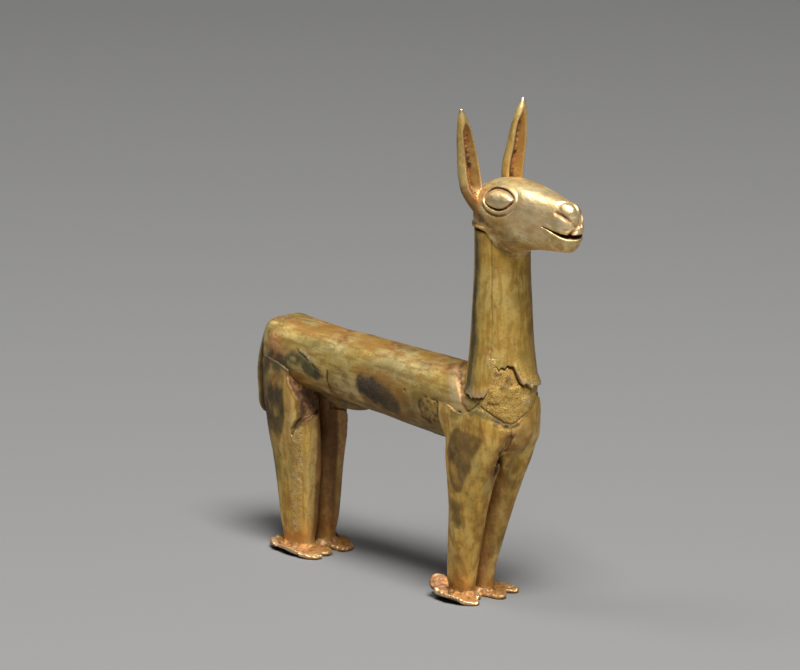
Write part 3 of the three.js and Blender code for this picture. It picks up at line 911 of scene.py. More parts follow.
def head_worked(p, depth):
    q = both_sides(p)
    off, on_side = off_eye(q)
    depth = depth + hammered(p, 91, 0.018)
    depth += 0.10 * ease(off, 1.4, 0.2) * on_side
    swell = np.clip(-off / 1.25, 0, 1)
    depth -= 0.46 * np.sqrt(1 - (1 - swell) ** 2) * on_side
    depth += 0.25 * ease(np.abs(off - 0.02), 0.18, 0.04) * on_side
    depth -= 0.15 * ease(np.abs(off - 0.38), 0.32, 0.04) * on_side
    flat = q * [1, 0, 1]
    depth += 0.13 * ease(off_line(flat, lower_lid), 0.36, 0.06) * on_side
    brow = off_line(flat, [(3.2, 0, 55.0), (4.8, 0, 54.7), (6.1, 0, 53.9)])
    depth -= 0.05 * ease(brow, 1.0, 0.1) * on_side

    depth -= np.maximum(
        dome(p, (12.6, -0.5, 53.0), (1.35, 1.0, 0.9), 0.34),
        dome(p, (12.6, 1.1, 52.9), (1.35, 0.95, 0.9), 0.32),
    )
    depth -= dome(q, (12.4, -1.75, 51.3), (1.4, 0.95, 1.0), 0.28)
    depth += groove(p, nose_valley, 0.3, 0.22)
    depth += groove(p, snout_crease, 0.3, 0.15)
    depth += groove(q, nostril, 0.32, 0.62)
    depth += groove(p, lip_cleft, 0.32, 0.55)
    depth -= dome(p, (13.5, 0.4, 50.6), (0.7, 0.7, 0.85), 0.26)
    depth += groove(q, jaw_groove, 0.24, 0.30)

    level = mouth_level(p[:, 0])
    gape = 0.07 + 0.22 * ease(p[:, 0], 10.2, 13.4)
    slit = np.abs(p[:, 2] - level) - gape
    slit = np.maximum(slit, 9.75 - p[:, 0])
    slit = np.maximum(slit, -(depth + mouth_depth))
    depth -= 0.12 * ease(np.abs(slit - 0.22), 0.4, 0.05) * ease(p[:, 0], 9.6, 10.8)
    depth = shared(depth, -slit, 0.1)
    return depth + pits(q, chin_pits, 0.2, 0.42)


def head_stains_and_highlight(p, depth):
    q = both_sides(p)
    off, on_side = off_eye(q)
    x, y, z = p.T
    level = mouth_level(x)
    flat = q * [1, 0, 1]
    behind_eye = patch(
        q, [(-1.6, -3.3, 50.6), (-0.4, -3.6, 50.2), (1.0, -3.5, 49.8), (2.0, -3.4, 49.4)], 0.4, 1.4, 0.5,
    )
    in_mouth = (
        ease(z, level + 0.1, level - 0.1) * ease(level - z, 0.75, 0.35) * ease(x, 9.7, 10.6)
        * ease(-depth, 0.02, 0.2)
    )
    collar_low = ease(np.abs(z - collar_height(p) - 0.1), 0.5, 0.1) * ease(np.hypot(x, y), 4.1, 3.9)
    return {
        "deep": most(
            ease(-depth, 0.12, 0.34) * (1 - 0.7 * in_mouth),
            0.66 * ease(np.abs(off - 0.02), 0.19, 0.07) * on_side * spots(p, 0.8, 94, -1.2, -0.2),
            ease(np.abs(z - level), 0.36, 0.2) * ease(x, 9.7, 10.2) * ease(-depth, 0.2, 0.4),
            0.5 * collar_low * spots(p, 0.9, 98, -0.3, 0.3),
        ),
        "dark": most(
            0.6 * behind_eye * spots(p, 0.8, 95, -0.1, 0.4),
            0.55 * ease(off_line(flat, lower_lid), 0.3, 0.08) * on_side * spots(p, 0.9, 99, -0.5, 0.2),
            0.45 * ease(off_points(q, [(12.3, -1.9, 51.25)]), 0.5, 0.15),
        ),
        "brown": most(
            0.6 * patch(
                q, [(-1.6, -3.3, 50.6), (0.4, -3.6, 50.0), (3.0, -3.4, 49.2), (4.5, -3.0, 48.4)], 0.8, 1.2, 0.6,
            ),
            0.5 * ease(z, 48.6, 47.2) * ease(x, 9, 6),
            0.7 * ease(x, 1.0, -1.5) * spots(p, 1.1, 93, -0.8, 0.2),
            0.4 * spots(p, 2.0, 100, 0.0, 0.6),
        ),
        "rust": most(
            0.95 * in_mouth,
            0.4 * behind_eye,
            0.75 * ease(off_line(q, nostril), 0.5, 0.2),
            0.7 * ease(off_line(p, lip_cleft), 0.45, 0.2),
            0.8 * ease(np.abs(off - 0.1), 0.34, 0.12) * on_side * spots(p, 1.1, 96, -0.6, 0.3),
        ),
        "green": most(
            0.5 * ease(off_points(q, [(12.3, -1.85, 51.2)]), 0.7, 0.2), 0.25 * spots(p, 2.4, 97, 0.2, 0.7),
        ),
        "rose": 0.5 * patch(q, [(6, -3.2, 51.6), (9, -2.7, 50.6)], 1.4, 0.9, 0.6),
        "worn": most(
            0.9 * ease(depth, 0.08, 0.26),
            0.45 * ease(np.abs(off - 0.38), 0.28, 0.08) * on_side,
            # Painted highlight: a pale, shinier patch over the top of the forehead and snout.
            0.55 * ease(z, 49.6, 51.6) * ease(x, 2.0, 5.5) * spots(p, 1.6, 92, -1.3, 0.0),
            0.35 * ease(np.abs(z - level + 0.75), 0.3, 0.1) * ease(x, 11.5, 12.6),
        ),
    }


# The head's gold is paler than the body's, partly its own tone and partly a painted highlight over the whole
# head.
head_gold = old_gold(
    "head_gold", (0.95, 0.66, 0.25), (0.98, 0.79, 0.42), (0.68, 0.40, 0.11), 0.44, 0.72, (0.4, 1, 1),
)
head = raise_sheet(
    "llama_head", (-4.4, -4.7, 44.6), (14.4, 4.7, 56.2), 0.1, head_form, head_worked, head_stains_and_highlight, 0.95,
)
head.data.materials.append(head_gold)
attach(head, "root")
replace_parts(head, "head")


# Ears
# Each ear is a leaf of sheet folded to a pointed trough that opens forward, soldered on the head behind
# the eye. The polish has stayed on its rims, and dark red dirt is caked in the bottom of the trough.
ear_rows = [
    (50.6, -0.9, 3.3, 0.35, 0.4),
    (51.4, -1.2, 3.35, 0.7, 0.85),
    (53, -1.85, 3.45, 1.05, 1.4),
    (55.2, -2.15, 3.65, 1.15, 1.6),
    (58, -2.05, 4.15, 1.02, 1.42),
    (61, -1.98, 4.65, 0.78, 1.05),
    (63.1, -1.95, 5.05, 0.45, 0.52),
    (64, -1.95, 5.2, 0.14, 0.16),
]


def raise_ear(name, side, seed):
    def local(p):
        ahead, out, half_depth, half_width = along_rows(ear_rows, p[:, 2])
        return p[:, 0] - ahead, side * p[:, 1] - out, half_depth, half_width

    def form(p):
        a, b, half_depth, half_width = local(p)
        leaf = round_depth(a, b, half_depth, half_width)
        leaf = shared(leaf, p[:, 2] - 63.95, 0.15)
        return np.maximum(leaf, 50.4 - p[:, 2])

    def trough(p):
        """The trough is a wide V down the front of the leaf, closing towards the tip and the root."""
        a, b, half_depth, half_width = local(p)
        open_here = ease(p[:, 2], 51.2, 54.0) * ease(p[:, 2], 63.4, 60.8)
        bottom = half_depth * (1.1 - 1.4 * open_here)
        slope = 1.05 * half_depth / (0.78 * half_width)
        off_middle = np.sqrt((b + 0.06 * half_width) ** 2 + 0.02)
        return (bottom + slope * off_middle - a) / np.sqrt(1 + slope**2)

    def bottom_line(p):
        """1 along the bottom of the trough, where the dirt is caked."""
        a, b, half_depth, half_width = local(p)
        middle = b + 0.06 * half_width + 0.10 * ripple(p, 0.9, seed)
        return ease(np.abs(middle), 0.30 * half_width, 0.12 * half_width) * ease(trough(p), 0.3, 0.0)

    def worked(p, depth):
        depth = depth + hammered(p, seed + 1, 0.02)
        cut = trough(p) + 0.12 * bottom_line(p) * rough(p, 0.4, seed + 2)
        return shared(depth, -cut, 0.16)

    def stains(p, depth):
        z = p[:, 2]
        inside = ease(trough(p), 0.16, 0.02) * ease(z, 52.0, 53.0)
        low = ease(z, 61.4, 60.4) * ease(z, 52.6, 54.4)
        caked = bottom_line(p) * low
        speckle = spots(p, 0.55, seed + 3, -0.1, 0.35)
        root = ease(z, 55.0, 53.0)
        return {
            "deep": 0.9 * caked * speckle,
            "rust": most(
                0.85 * caked, 0.3 * inside * spots(p, 0.8, seed + 4, 0, 0.5),
                0.6 * root * spots(p, 0.7, seed + 10, -0.6, 0.2),
            ),
            "brown": most(0.85 * inside, 0.45 * spots(p, 1.4, seed + 5, 0, 0.6), 0.9 * root),
            "rose": 0.2 * root * ease(p[:, 0], -1.6, -0.9) * spots(p, 0.7, seed + 7, -0.6, 0.2),
            "dark": root * (0.25 + 0.35 * spots(p, 0.6, seed + 9, 0.0, 0.4)),
            "green": most(
                0.35 * spots(p, 1.6, seed + 6, 0.0, 0.6) * (1 - inside), 0.5 * ease(p[:, 0], -2.4, -3.0),
            ),
            "worn": most(
                ease(z, 62.8, 63.7),
                0.75 * ease(np.abs(trough(p)), 0.22, 0.04) * ease(-depth, 0.3, 0.05) * ease(z, 52.5, 54),
            ),
        }

    low = (-3.7, min(side * 1.6, side * 6.0), 50.2)
    high = (-0.2, max(side * 1.6, side * 6.0), 64.2)
    ear = raise_sheet(name, low, high, 0.075, form, worked, stains, 1.6)
    ear.data.materials.append(ear_gold)
    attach(ear, "root")
    return ear


ear_gold = old_gold(
    "ear_gold", (0.84, 0.56, 0.17), (0.92, 0.70, 0.28), (0.60, 0.34, 0.08), 0.44, 0.72, (1, 1, 0.2),
)
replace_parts(raise_ear("ear_leaf_right", -1, 101), "ear_right")
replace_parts(raise_ear("ear_leaf_left", 1, 121), "ear_left")


# Front legs
# Each front leg is a sheet rolled to a tapering tube and soldered down its front edge. At the top the
# two sheets open out, wrap the chest below the neck and meet in a long crack in front.
leg_foot = 0.35  # down in the solder on the sole
near_cell, far_cell = 0.125, 0.14  # the left legs are mostly hidden, so their mesh is coarser
front_leg_rows = [
    (0.3, -5.82, 1.5, 2.28, 1.5, 2),
    (0.65, -5.82, 1.5, 2.2, 1.42, 2),
    (3, -5.65, 1.52, 2.3, 1.5, 2),
    (7, -4.85, 1.85, 2.5, 1.8, 2),
    (12, -3.72, 2.3, 2.85, 2.1, 2),
    (16, -2.95, 2.5, 3.5, 2.5, 2.1),
    (19, -2.35, 2.55, 4.2, 2.7, 2.3),
    (22, -1.75, 2.6, 4.4, 2.65, 2.5),
    (24, -1.6, 2.6, 4.4, 2.65, 2.5),
]
front_seam = [
    (0.38, -1.43, 16.3), (-0.19, -1.75, 14.3), (-0.9, -1.78, 12.2), (-1.8, -1.45, 9.4), (-2.64, -1.19, 6.5),
    (-3.02, -1.35, 4.5),
]
front_pits = [
    (0.29, -2.54, 15.3), (0.45, -2.51, 15.8), (-0.11, -2.5, 14.2), (-0.86, -2.33, 12.05), (-2.7, -1.5, 6.0),
    (-2.95, -1.5, 5.0),
]
meeting_crack = [
    (3.25, -1.95, 22.4), (2.9, -2.1, 21.6), (2.2, -2.2, 20.4), (1.8, -2.2, 18.8), (1.1, -2.1, 17.3),
]
flat_crack = np.array(meeting_crack) * [0.15, 1, 1]
solder_lumps = [
    (2.8, -3.55, 24.75), (3.4, -3.1, 24.5), (3.65, -2.75, 24.05), (4.0, -2.28, 23.9), (4.45, -1.2, 24.2),
]


def leg_tube(p, rows, side):
    ahead, out, half_length, half_width, power = along_rows(rows, p[:, 2])
    tube = round_depth(p[:, 0] - ahead, side * p[:, 1] - out, half_length, half_width, power)
    return np.maximum(tube, leg_foot - p[:, 2])


def raise_front_leg(name, side, seed):
    def form(p):
        x, y, z = p.T
        tube = np.maximum(leg_tube(p, front_leg_rows, side) + 0.55 * ease(z, 21.5, 25), z - 25.4)
        right, left, jag = leg_sheet_rim(p)
        rim = (right if side < 0 else left) + jag
        rear = ease(np.abs(around(p)), 92, 106)
        wrap = trunk_form(p) - (0.05 + 0.19 * ease(rim - z, 0, 1.4) * (1 - 0.75 * rear))
        wrap = np.maximum(wrap, np.maximum(19.6 - z, -6.6 - x))
        if side > 0:
            tube -= 1.1 * ease(z, 14.5, 18) * ease(x, -1.0, 0.8) * ease(y, 1.2, -0.4)
        leg = shared(joined(tube, wrap, 1.3), z - rim, 0.1)
        # Below, the legs part on the middle line. On the chest the parting swings over to the right.
        gap = 0.10 - 0.085 * ease(z, 19.5, 22)
        shift = ease(z, 16.8, 19.2) * ease(x, -2.5, 0.8)
        middle = side * 0.12 * (1 - shift) + (-1.95 + side * gap) * shift
        return np.maximum(leg, side * (middle - y))

    def worked(p, depth):
        depth = depth + hammered(p * [1, 1, 0.5], seed + 1, 0.032)
        if side < 0:
            depth += groove(p, front_seam, 0.2, 0.12)
            depth += pits(p, front_pits, 0.17, 0.28)
            depth += 0.10 * ease(off_line(p, solder_lumps), 0.9, 0.4) * rough(p, 0.45, seed + 3)
            band = (
                ease(np.abs(p[:, 2] - leg_sheet_rim(p)[0] + 0.6), 0.6, 0.3)
                * ease(np.abs(around(p) + 74), 28, 20)
            )
            depth += 0.06 * band * rough(p * [1, 1, 1.6], 0.5, seed + 9)
        depth += groove(p * [0.15, 1, 1], flat_crack, 0.30, 0.34) * ease(p[:, 0], 0.3, 1.0)
        solder = ease(p[:, 2], 2.2, 0.9)
        return depth + 0.08 * solder * rough(p, 0.8, seed + 4)

    def stains(p, depth):
        x, y, z = p.T
        foot = ease(z, 3.0, 1.0)
        inner = ease(side * y, 1.7, 0.5) * ease(z, 19, 15)
        off_crack = off_line(p * [0.15, 1, 1], flat_crack) + 2 * ease(x, 1.0, 0.2)
        near_crack = ease(off_crack, 1.5, 0.4) * spots(p, 0.9, seed + 10, -0.7, 0.1)
        crack = ease(off_crack + 0.12 * ripple(p, 0.5, seed + 21), 0.42, 0.16)
        lumps = ease(off_line(p, solder_lumps), 0.42, 0.18) * spots(p, 0.5, seed + 11, -0.4, 0.0)
        upright = p * [1, 1, 0.35]
        rim = leg_sheet_rim(p)[0 if side < 0 else 1] + leg_sheet_rim(p)[2]
        rim_dirt = ease(rim - z, 0.3, 0.1) * spots(p, 0.6, seed + 16, -0.7, 0.1)
        made = {
            "deep": most(ease(-depth, 0.10, 0.34), 0.85 * crack * spots(p, 0.6, seed + 12, -0.9, -0.2)),
            "rust": most(0.85 * foot * spots(p, 1.2, seed + 5, -0.7, 0.2), 0.6 * inner, 0.6 * near_crack),
            "brown": most(
                (0.55 if side < 0 else 0.35) * inner,
                0.85 * near_crack,
                0.7 * foot,
                (0.5 if side < 0 else 0.65) * spots(upright, 1.6, seed + 13, -0.2, 0.6),
                0.5 * ease(z, 21.5, 23.5) * ease(around(p), -30, -10) * spots(p, 1.2, seed + 14, -0.5, 0.4),
            ),
            "dark": most(
                0.4 * inner * spots(upright, 1.5, seed + 6, -0.2, 0.5),
                0.95 * lumps,
                0.8 * rim_dirt,
                0.7 * ease(off_crack, 0.9, 0.3) * spots(p, 0.6, seed + 19, -0.1, 0.25),
                0.5 * foot * spots(p, 0.8, seed + 20, 0.0, 0.4),
            ),
            "green": 0.3 * spots(upright, 2.0, seed + 7, 0.0, 0.7),
            "crust": most(0.6 * ease(off_line(p, solder_lumps), 1.3, 0.5), 0.35 * foot),
            "rose": 0.3 * spots(upright, 2.6, seed + 8, 0.2, 0.8),
        }
        if side < 0:
            bruise = blot(
                p,
                [
                    (-2.6, 23.1), (1.5, 22.45), (1.0, 21.1), (0.1, 19.6), (-0.65, 18.0), (-1.2, 17.0),
                    (-1.9, 15.6), (-2.8, 14.8), (-3.5, 14.9), (-4.4, 16.2), (-4.5, 18.3), (-4.3, 20.6),
                    (-3.8, 22.0),
                ],
                0.3, 0.3,
            )
            heart = blot(
                p, [(-4.4, 20.6), (-3.2, 21.0), (-2.0, 20.4), (-1.6, 19.4), (-2.6, 18.7), (-4.2, 18.6)], 0.5,
                0.5, 8,
            )
            streak = blot(
                p, [(-4.2, 18.0), (-3.1, 18.2), (-2.4, 16.6), (-2.5, 15.9), (-3.0, 15.6), (-3.7, 16.2)], 0.5,
                0.3, 9,
            )
            low_mark = blot(
                p, [(-4.6, 13.4), (-3.4, 13.6), (-2.7, 12.6), (-2.8, 10.8), (-3.4, 10.0), (-4.4, 10.6)], 0.6,
                0.4, 10,
            )
            bruise = bruise * (1 - 0.6 * streak)
            silver = (
                ease(np.abs(z - leg_sheet_rim(p)[0] + 0.6), 0.6, 0.35)
                * ease(np.abs(around(p) + 72), 26, 20)
            )
            corner = blot(p, [(-3.6, 23.4), (0.0, 24.2), (3.2, 23.4), (2.2, 22.2), (-2.6, 23.0)], 0.5, 0.4, 11)
            made["brown"] = most(made["brown"], 0.95 * bruise, 0.7 * low_mark, 0.5 * corner)
            made["dark"] = most(
                made["dark"], 0.34 * bruise * spots(p, 1.1, seed + 17, -1.0, 0.5),
                0.72 * heart * spots(p, 0.8, seed + 18, -0.9, 0.2), 0.25 * low_mark,
                0.3 * silver * spots(p, 0.5, seed + 15, -0.1, 0.4),
            )
            made["green"] = most(
                made["green"], 0.8 * silver, 0.45 * bruise * spots(p, 1.3, seed + 22, -0.6, 0.4),
                0.4 * low_mark,
            )
            made["worn"] = ease(depth, 0.05, 0.14)
        return made

    low = (-9.0, min(side * 6.0, -side * 2.6), 0.2)
    high = (5.3, max(side * 6.0, -side * 2.6), 28.0)
    leg = raise_sheet(name, low, high, near_cell if side < 0 else far_cell, form, worked, stains, 0.55)
    leg.data.materials.append(leg_gold)
    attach(leg, "root")
    return leg


leg_gold = old_gold(
    "leg_gold", (0.82, 0.51, 0.105), (0.88, 0.61, 0.18), (0.50, 0.25, 0.045), 0.52, 0.68, (1, 1, 0.2),
)
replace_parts(raise_front_leg("front_leg_right", -1, 201), "leg_front_right")
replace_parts(raise_front_leg("front_leg_left", 1, 231), "leg_front_left")


# Hind legs
# The hind legs are rolled and soldered like the front ones. The sheet's outer half runs up the thigh to
# a leaf point, and below it the sheet is pushed in under the belly, over a ragged lower rim.
hind_leg_rows = [
    (0.3, -36.82, 1.75, 2.68, 1.58, 2.2),
    (0.65, -36.82, 1.75, 2.6, 1.5, 2.2),
    (4, -36.75, 1.82, 2.85, 1.68, 2.6),
    (8, -36.8, 1.88, 3.15, 1.86, 2.9),
    (12, -36.92, 1.95, 3.6, 2.04, 3.0),
    (15, -37.05, 2.25, 3.9, 2.25, 2.8),
    (18, -37.3, 2.45, 4.1, 2.4, 2.5),
    (21, -37.55, 2.6, 4.1, 2.45, 2.4),
    (25, -37.7, 2.6, 4.0, 2.45, 2.2),
]
leaf_edge = [
    (14, -35.6), (15.8, -35.2), (17.1, -34.7), (18.0, -34.1), (18.9, -34.0), (20.5, -34.2), (21.5, -34.8),
    (22.7, -35.5), (23.4, -35.9),
]
lower_rim = [(0, 18.7), (1.2, 18.55), (2.45, 18.3), (3.4, 17.9), (3.9, 17.3), (4.3, 16.5), (5.0, 16.0)]
hind_leg_top = [(-42, 25.2), (-38, 24.9), (-35.6, 24.0), (-35.2, 23.8), (-33, 22.6)]
leaf_strip = [
    (-35.9, 23.6), (-35.0, 21.6), (-34.2, 20.4), (-34.0, 18.9), (-34.2, 18.0), (-34.9, 16.9), (-35.4, 15.4),
    (-36.6, 13.5), (-37.9, 13.0), (-37.2, 14.6), (-36.3, 16.8), (-35.75, 18.4), (-35.65, 20.0), (-35.7, 21.4),
    (-36.2, 22.8),
]
hind_seam = [
    (-33.68, 3.39, 16.2), (-33.82, 3.45, 15.5), (-33.92, 3.36, 14.3), (-34.17, 3.16, 12.1),
    (-34.33, 3.11, 10.3), (-34.47, 3.08, 8.95), (-34.7, 2.95, 6.0), (-35.0, 2.9, 3.0),
]
leaf_crevice = [(-34.05, 3.9, 18.0), (-34.6, 4.15, 17.1), (-35.15, 4.25, 15.8)]


def leg_top(x):
    """Height of the hind legs' upper rim on the rump."""
    return np.interp(x, *np.array(hind_leg_top).T)


def raise_hind_leg(name, side, seed):
    seam = [(a, side * b, c) for a, b, c in hind_seam]
    crevice = [(a, side * b, c) for a, b, c in leaf_crevice]
    heights = np.linspace(16.4, 3.2, 21) + 0.12 * np.sin(7.1 * np.arange(21))
    by_height = np.array(seam[::-1]).T
    seam_pits = [
        (
            np.interp(h, by_height[2], by_height[0]) + 0.1 * math.sin(5 * h),
            np.interp(h, by_height[2], by_height[1]),
            h,
        )
        for h in heights
    ]

    def form(p):
        x, y, z = p.T
        top = leg_top(x) + 0.06 * ripple(p, 0.8, seed)
        tube = leg_tube(p, hind_leg_rows, side) + 0.5 * ease(z - top, -3.2, 0.0) * ease(x, -35.2, -36.0)
        tube = shared(tube, z - top, 0.12)
        wrap = trunk_form(p) - 0.16 * ease(top - z, -0.1, 1.0)
        wrap = np.maximum(shared(wrap, z - top, 0.1), np.maximum(20.5 - z, np.maximum(-41.7 - x, x + 35.2)))
        leg = joined(tube, wrap, 0.4)
        return np.maximum(leg, side * (side * 0.12 - y))

    def in_pocket(p):
        """1 where the sheet is pushed in, right of the leaf's edge and above the lower rim."""
        out = side * p[:, 1]
        edge = np.interp(p[:, 2], *np.array(leaf_edge).T) + 0.06 * ripple(p, 0.5, seed + 12)
        rim = np.interp(out, *np.array(lower_rim).T) + 0.08 * ripple(p * [1, 1, 0.2], 0.5, seed + 13)
        return ease(p[:, 0] - edge, -0.02, 0.16) * ease(p[:, 2] - rim, -0.05, 0.14)

    def worked(p, depth):
        out = side * p[:, 1]
        depth = depth + hammered(p * [1, 1, 0.5], seed + 1, 0.035)
        band = ease(off_line(p - [-0.55, side * 0.35, 0], seam), 0.95, 0.5)
        depth += 0.07 * band * rough(p, 0.5, seed + 2)
        depth += pits(p, seam_pits, 0.16, 0.22)
        solder = ease(p[:, 2], 2.2, 0.9)
        depth += 0.08 * solder * rough(p, 0.8, seed + 4)
        pushed = in_pocket(p)
        if side < 0:
            fold = 0.13 * ripple(p * [1, 1, 0.6], 1.1, seed + 14) + 0.06 * ripple(p, 0.5, seed + 15)
            depth += pushed * (0.35 + 0.6 * ease(out, 2.0, 4.0) + fold)
            depth += groove(p, crevice, 0.34, 0.30)
            depth -= 0.16 * blot(p, leaf_strip, 0.7, 0.05)
        else:
            depth += 0.16 * pushed
        return depth

    def stains(p, depth):
        x, y, z = p.T
        out = side * y
        upright = p * [1, 1, 0.35]
        foot = ease(z, 3.0, 0.9)
        front = ease(x, -34.6, -34.0) * ease(out, 2.1, 1.5)
        corner = ease(x, -34.9, -34.3) * ease(np.abs(out - 2.45), 0.8, 0.4) * ease(z, 20, 19)
        rear = ease(x, -37.2, -38.2) * spots(p, 2.2, seed + 16, -1.4, -0.4)
        high_up = ease(z, 13, 18)
        inner = ease(out, 1.5, 0.6)
        pushed = in_pocket(p)
        strip = blot(p, leaf_strip, 0.3, 0.1, 7, side)
        band = ease(off_line(p - [-0.7, side * 0.45, 0], seam), 1.1, 0.6)
        thigh = ease(x, -35.9, -36.5) * high_up * (1 - strip) * (1 if side < 0 else 0.4)
        lip = most(in_pocket(p + [0.3, 0, 0]), in_pocket(p + [0, 0, 0.3])) * (1 - pushed) * (side < 0)
        rim_dirt = ease(leg_top(x) - z, 0.75, 0.2) * ease(x, -35.3, -35.9)
        return {
            "deep": most(
                ease(-depth, 0.12, 0.34) * (1 - pushed),
                0.9 * ease(pushed, 0.1, 0.4) * ease(pushed, 0.98, 0.6),
                0.85 * pushed * spots(p, 0.9, seed + 17, -0.1, 0.4),
                0.7 * ease(off_line(p, crevice), 0.26, 0.1) * (side < 0),
            ),
            "rust": most(
                0.9 * foot * spots(p, 1.2, seed + 5, -0.8, 0.1),
                0.95 * pushed,
                0.75 * front * spots(upright, 1.6, seed + 6, -0.9, 0.2),
                0.75 * thigh * spots(p, 1.0, seed + 7, 0.0, 0.4),
                0.6 * inner,
                0.0 if side < 0 else 0.85 * spots(upright, 1.3, seed + 23, -0.9, 0.3),
            ),
            "brown": most(
                0.85 * ease(pushed, 0.0, 0.15) * ease(pushed, 0.9, 0.6),
                0.75 * lip,
                0.8 * front,
                0.6 * thigh,
                0.75 * foot,
                0.55 * spots(upright, 1.6, seed + 18, -0.2, 0.6) * (1 - corner),
                0.6 * inner,
                0.0 if side < 0 else 0.3,
            ),
            "dark": most(
                0.85 * thigh * spots(p * [1, 1, 0.6], 1.2, seed + 8, -0.7, 0.3),
                0.85 * rim_dirt,
                0.4 * pushed,
                0.5 * lip,
                0.35 * inner,
                0.5 * front * spots(upright, 1.2, seed + 19, -0.6, 0.3),
                0.35 * ease(x, -39.6, -40.6) * ease(z, 4, 10),
            ),
            "green": most(
                0.9 * thigh * spots(p, 1.1, seed + 24, 0.7, -0.1),
                0.5 * rear * ease(z, 4, 12),
                0.25 * spots(upright, 2.0, seed + 9, 0.0, 0.7) * (1 - corner),
            ),
            "crust": most(band * (1 - pushed), 0.5 * foot),
            "rose": 0.45 * band * spots(p, 0.7, seed + 21, -0.4, 0.4),
            "worn": most(
                0.5 * ease(depth, 0.08, 0.25) * (1 - rim_dirt) * (1 - lip)
                * (1 - 0.8 * ease(off_line(p, crevice), 1.1, 0.6)),
                0.2 * strip * (1 - lip), 0.2 * corner,
                0.5 * band * ease(z, 17.6, 17.0) * spots(p, 0.5, seed + 20, -0.1, 0.4),
            ),
        }

    low = (-42.4, min(side * 6.0, 0.0), 0.2)
    high = (-32.4, max(side * 6.0, 0.0), 25.6)
    leg = raise_sheet(
        name, low, high, near_cell if side < 0 else far_cell, form, worked, stains, 1.3 if side < 0 else 0.6,
    )
    leg.data.materials.append(leg_gold)
    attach(leg, "root")
    return leg


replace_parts(raise_hind_leg("hind_leg_right", -1, 301), "leg_hind_right")
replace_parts(raise_hind_leg("hind_leg_left", 1, 331), "leg_hind_left")


# Soles
# Each foot is a flat piece cut from coppery sheet with two toes in front, bedded in solder under its leg.
# The edges are worn bright, the right soles' outer edges partly as a painted highlight, and the sheet's lowest
# edge is painted near black as shade. A tab of the right front sole has curled up behind the foot.
sole_thickness = 0.55
floor_dip = 0.05  # how far the right front sole may dip under the table's surface
front_sole_right = [
    (-9.0, 1.4), (-9.4, 2.6), (-8.8, 3.8), (-7.1, 4.9), (-5.1, 5.55), (-3.6, 5.55), (-2.4, 5.0), (-1.2, 4.1),
    (-0.8, 3.1), (-2.0, 2.0), (-3.0, 1.0), (-4.5, 0.4), (-7.0, 0.35),
]
front_sole_left = [
    (-8.6, 1.2), (-8.3, 3.2), (-6.6, 4.8), (-4.4, 5.2), (-2.6, 5.1), (-1.7, 4.3), (-2.6, 3.1), (-1.2, 1.9),
    (-0.9, 0.8), (-2.4, 0.25), (-7.0, 0.3),
]
hind_sole_right = [
    (-40.3, 1.4), (-40.0, 3.6), (-38.4, 5.2), (-36.4, 5.7), (-34.0, 5.7), (-32.0, 5.45), (-30.6, 4.7),
    (-30.3, 3.7), (-31.2, 2.9), (-30.8, 2.2), (-30.9, 1.2), (-32.0, 0.6), (-35.0, 0.3), (-39.0, 0.35),
]
hind_sole_left = [
    (-40.2, 1.4), (-39.6, 3.3), (-37.4, 4.7), (-35.3, 4.8), (-33.0, 4.0), (-31.4, 3.0), (-30.8, 1.9),
    (-31.0, 0.6), (-32.9, 0.3), (-35.0, 0.3), (-39.0, 0.35),
]


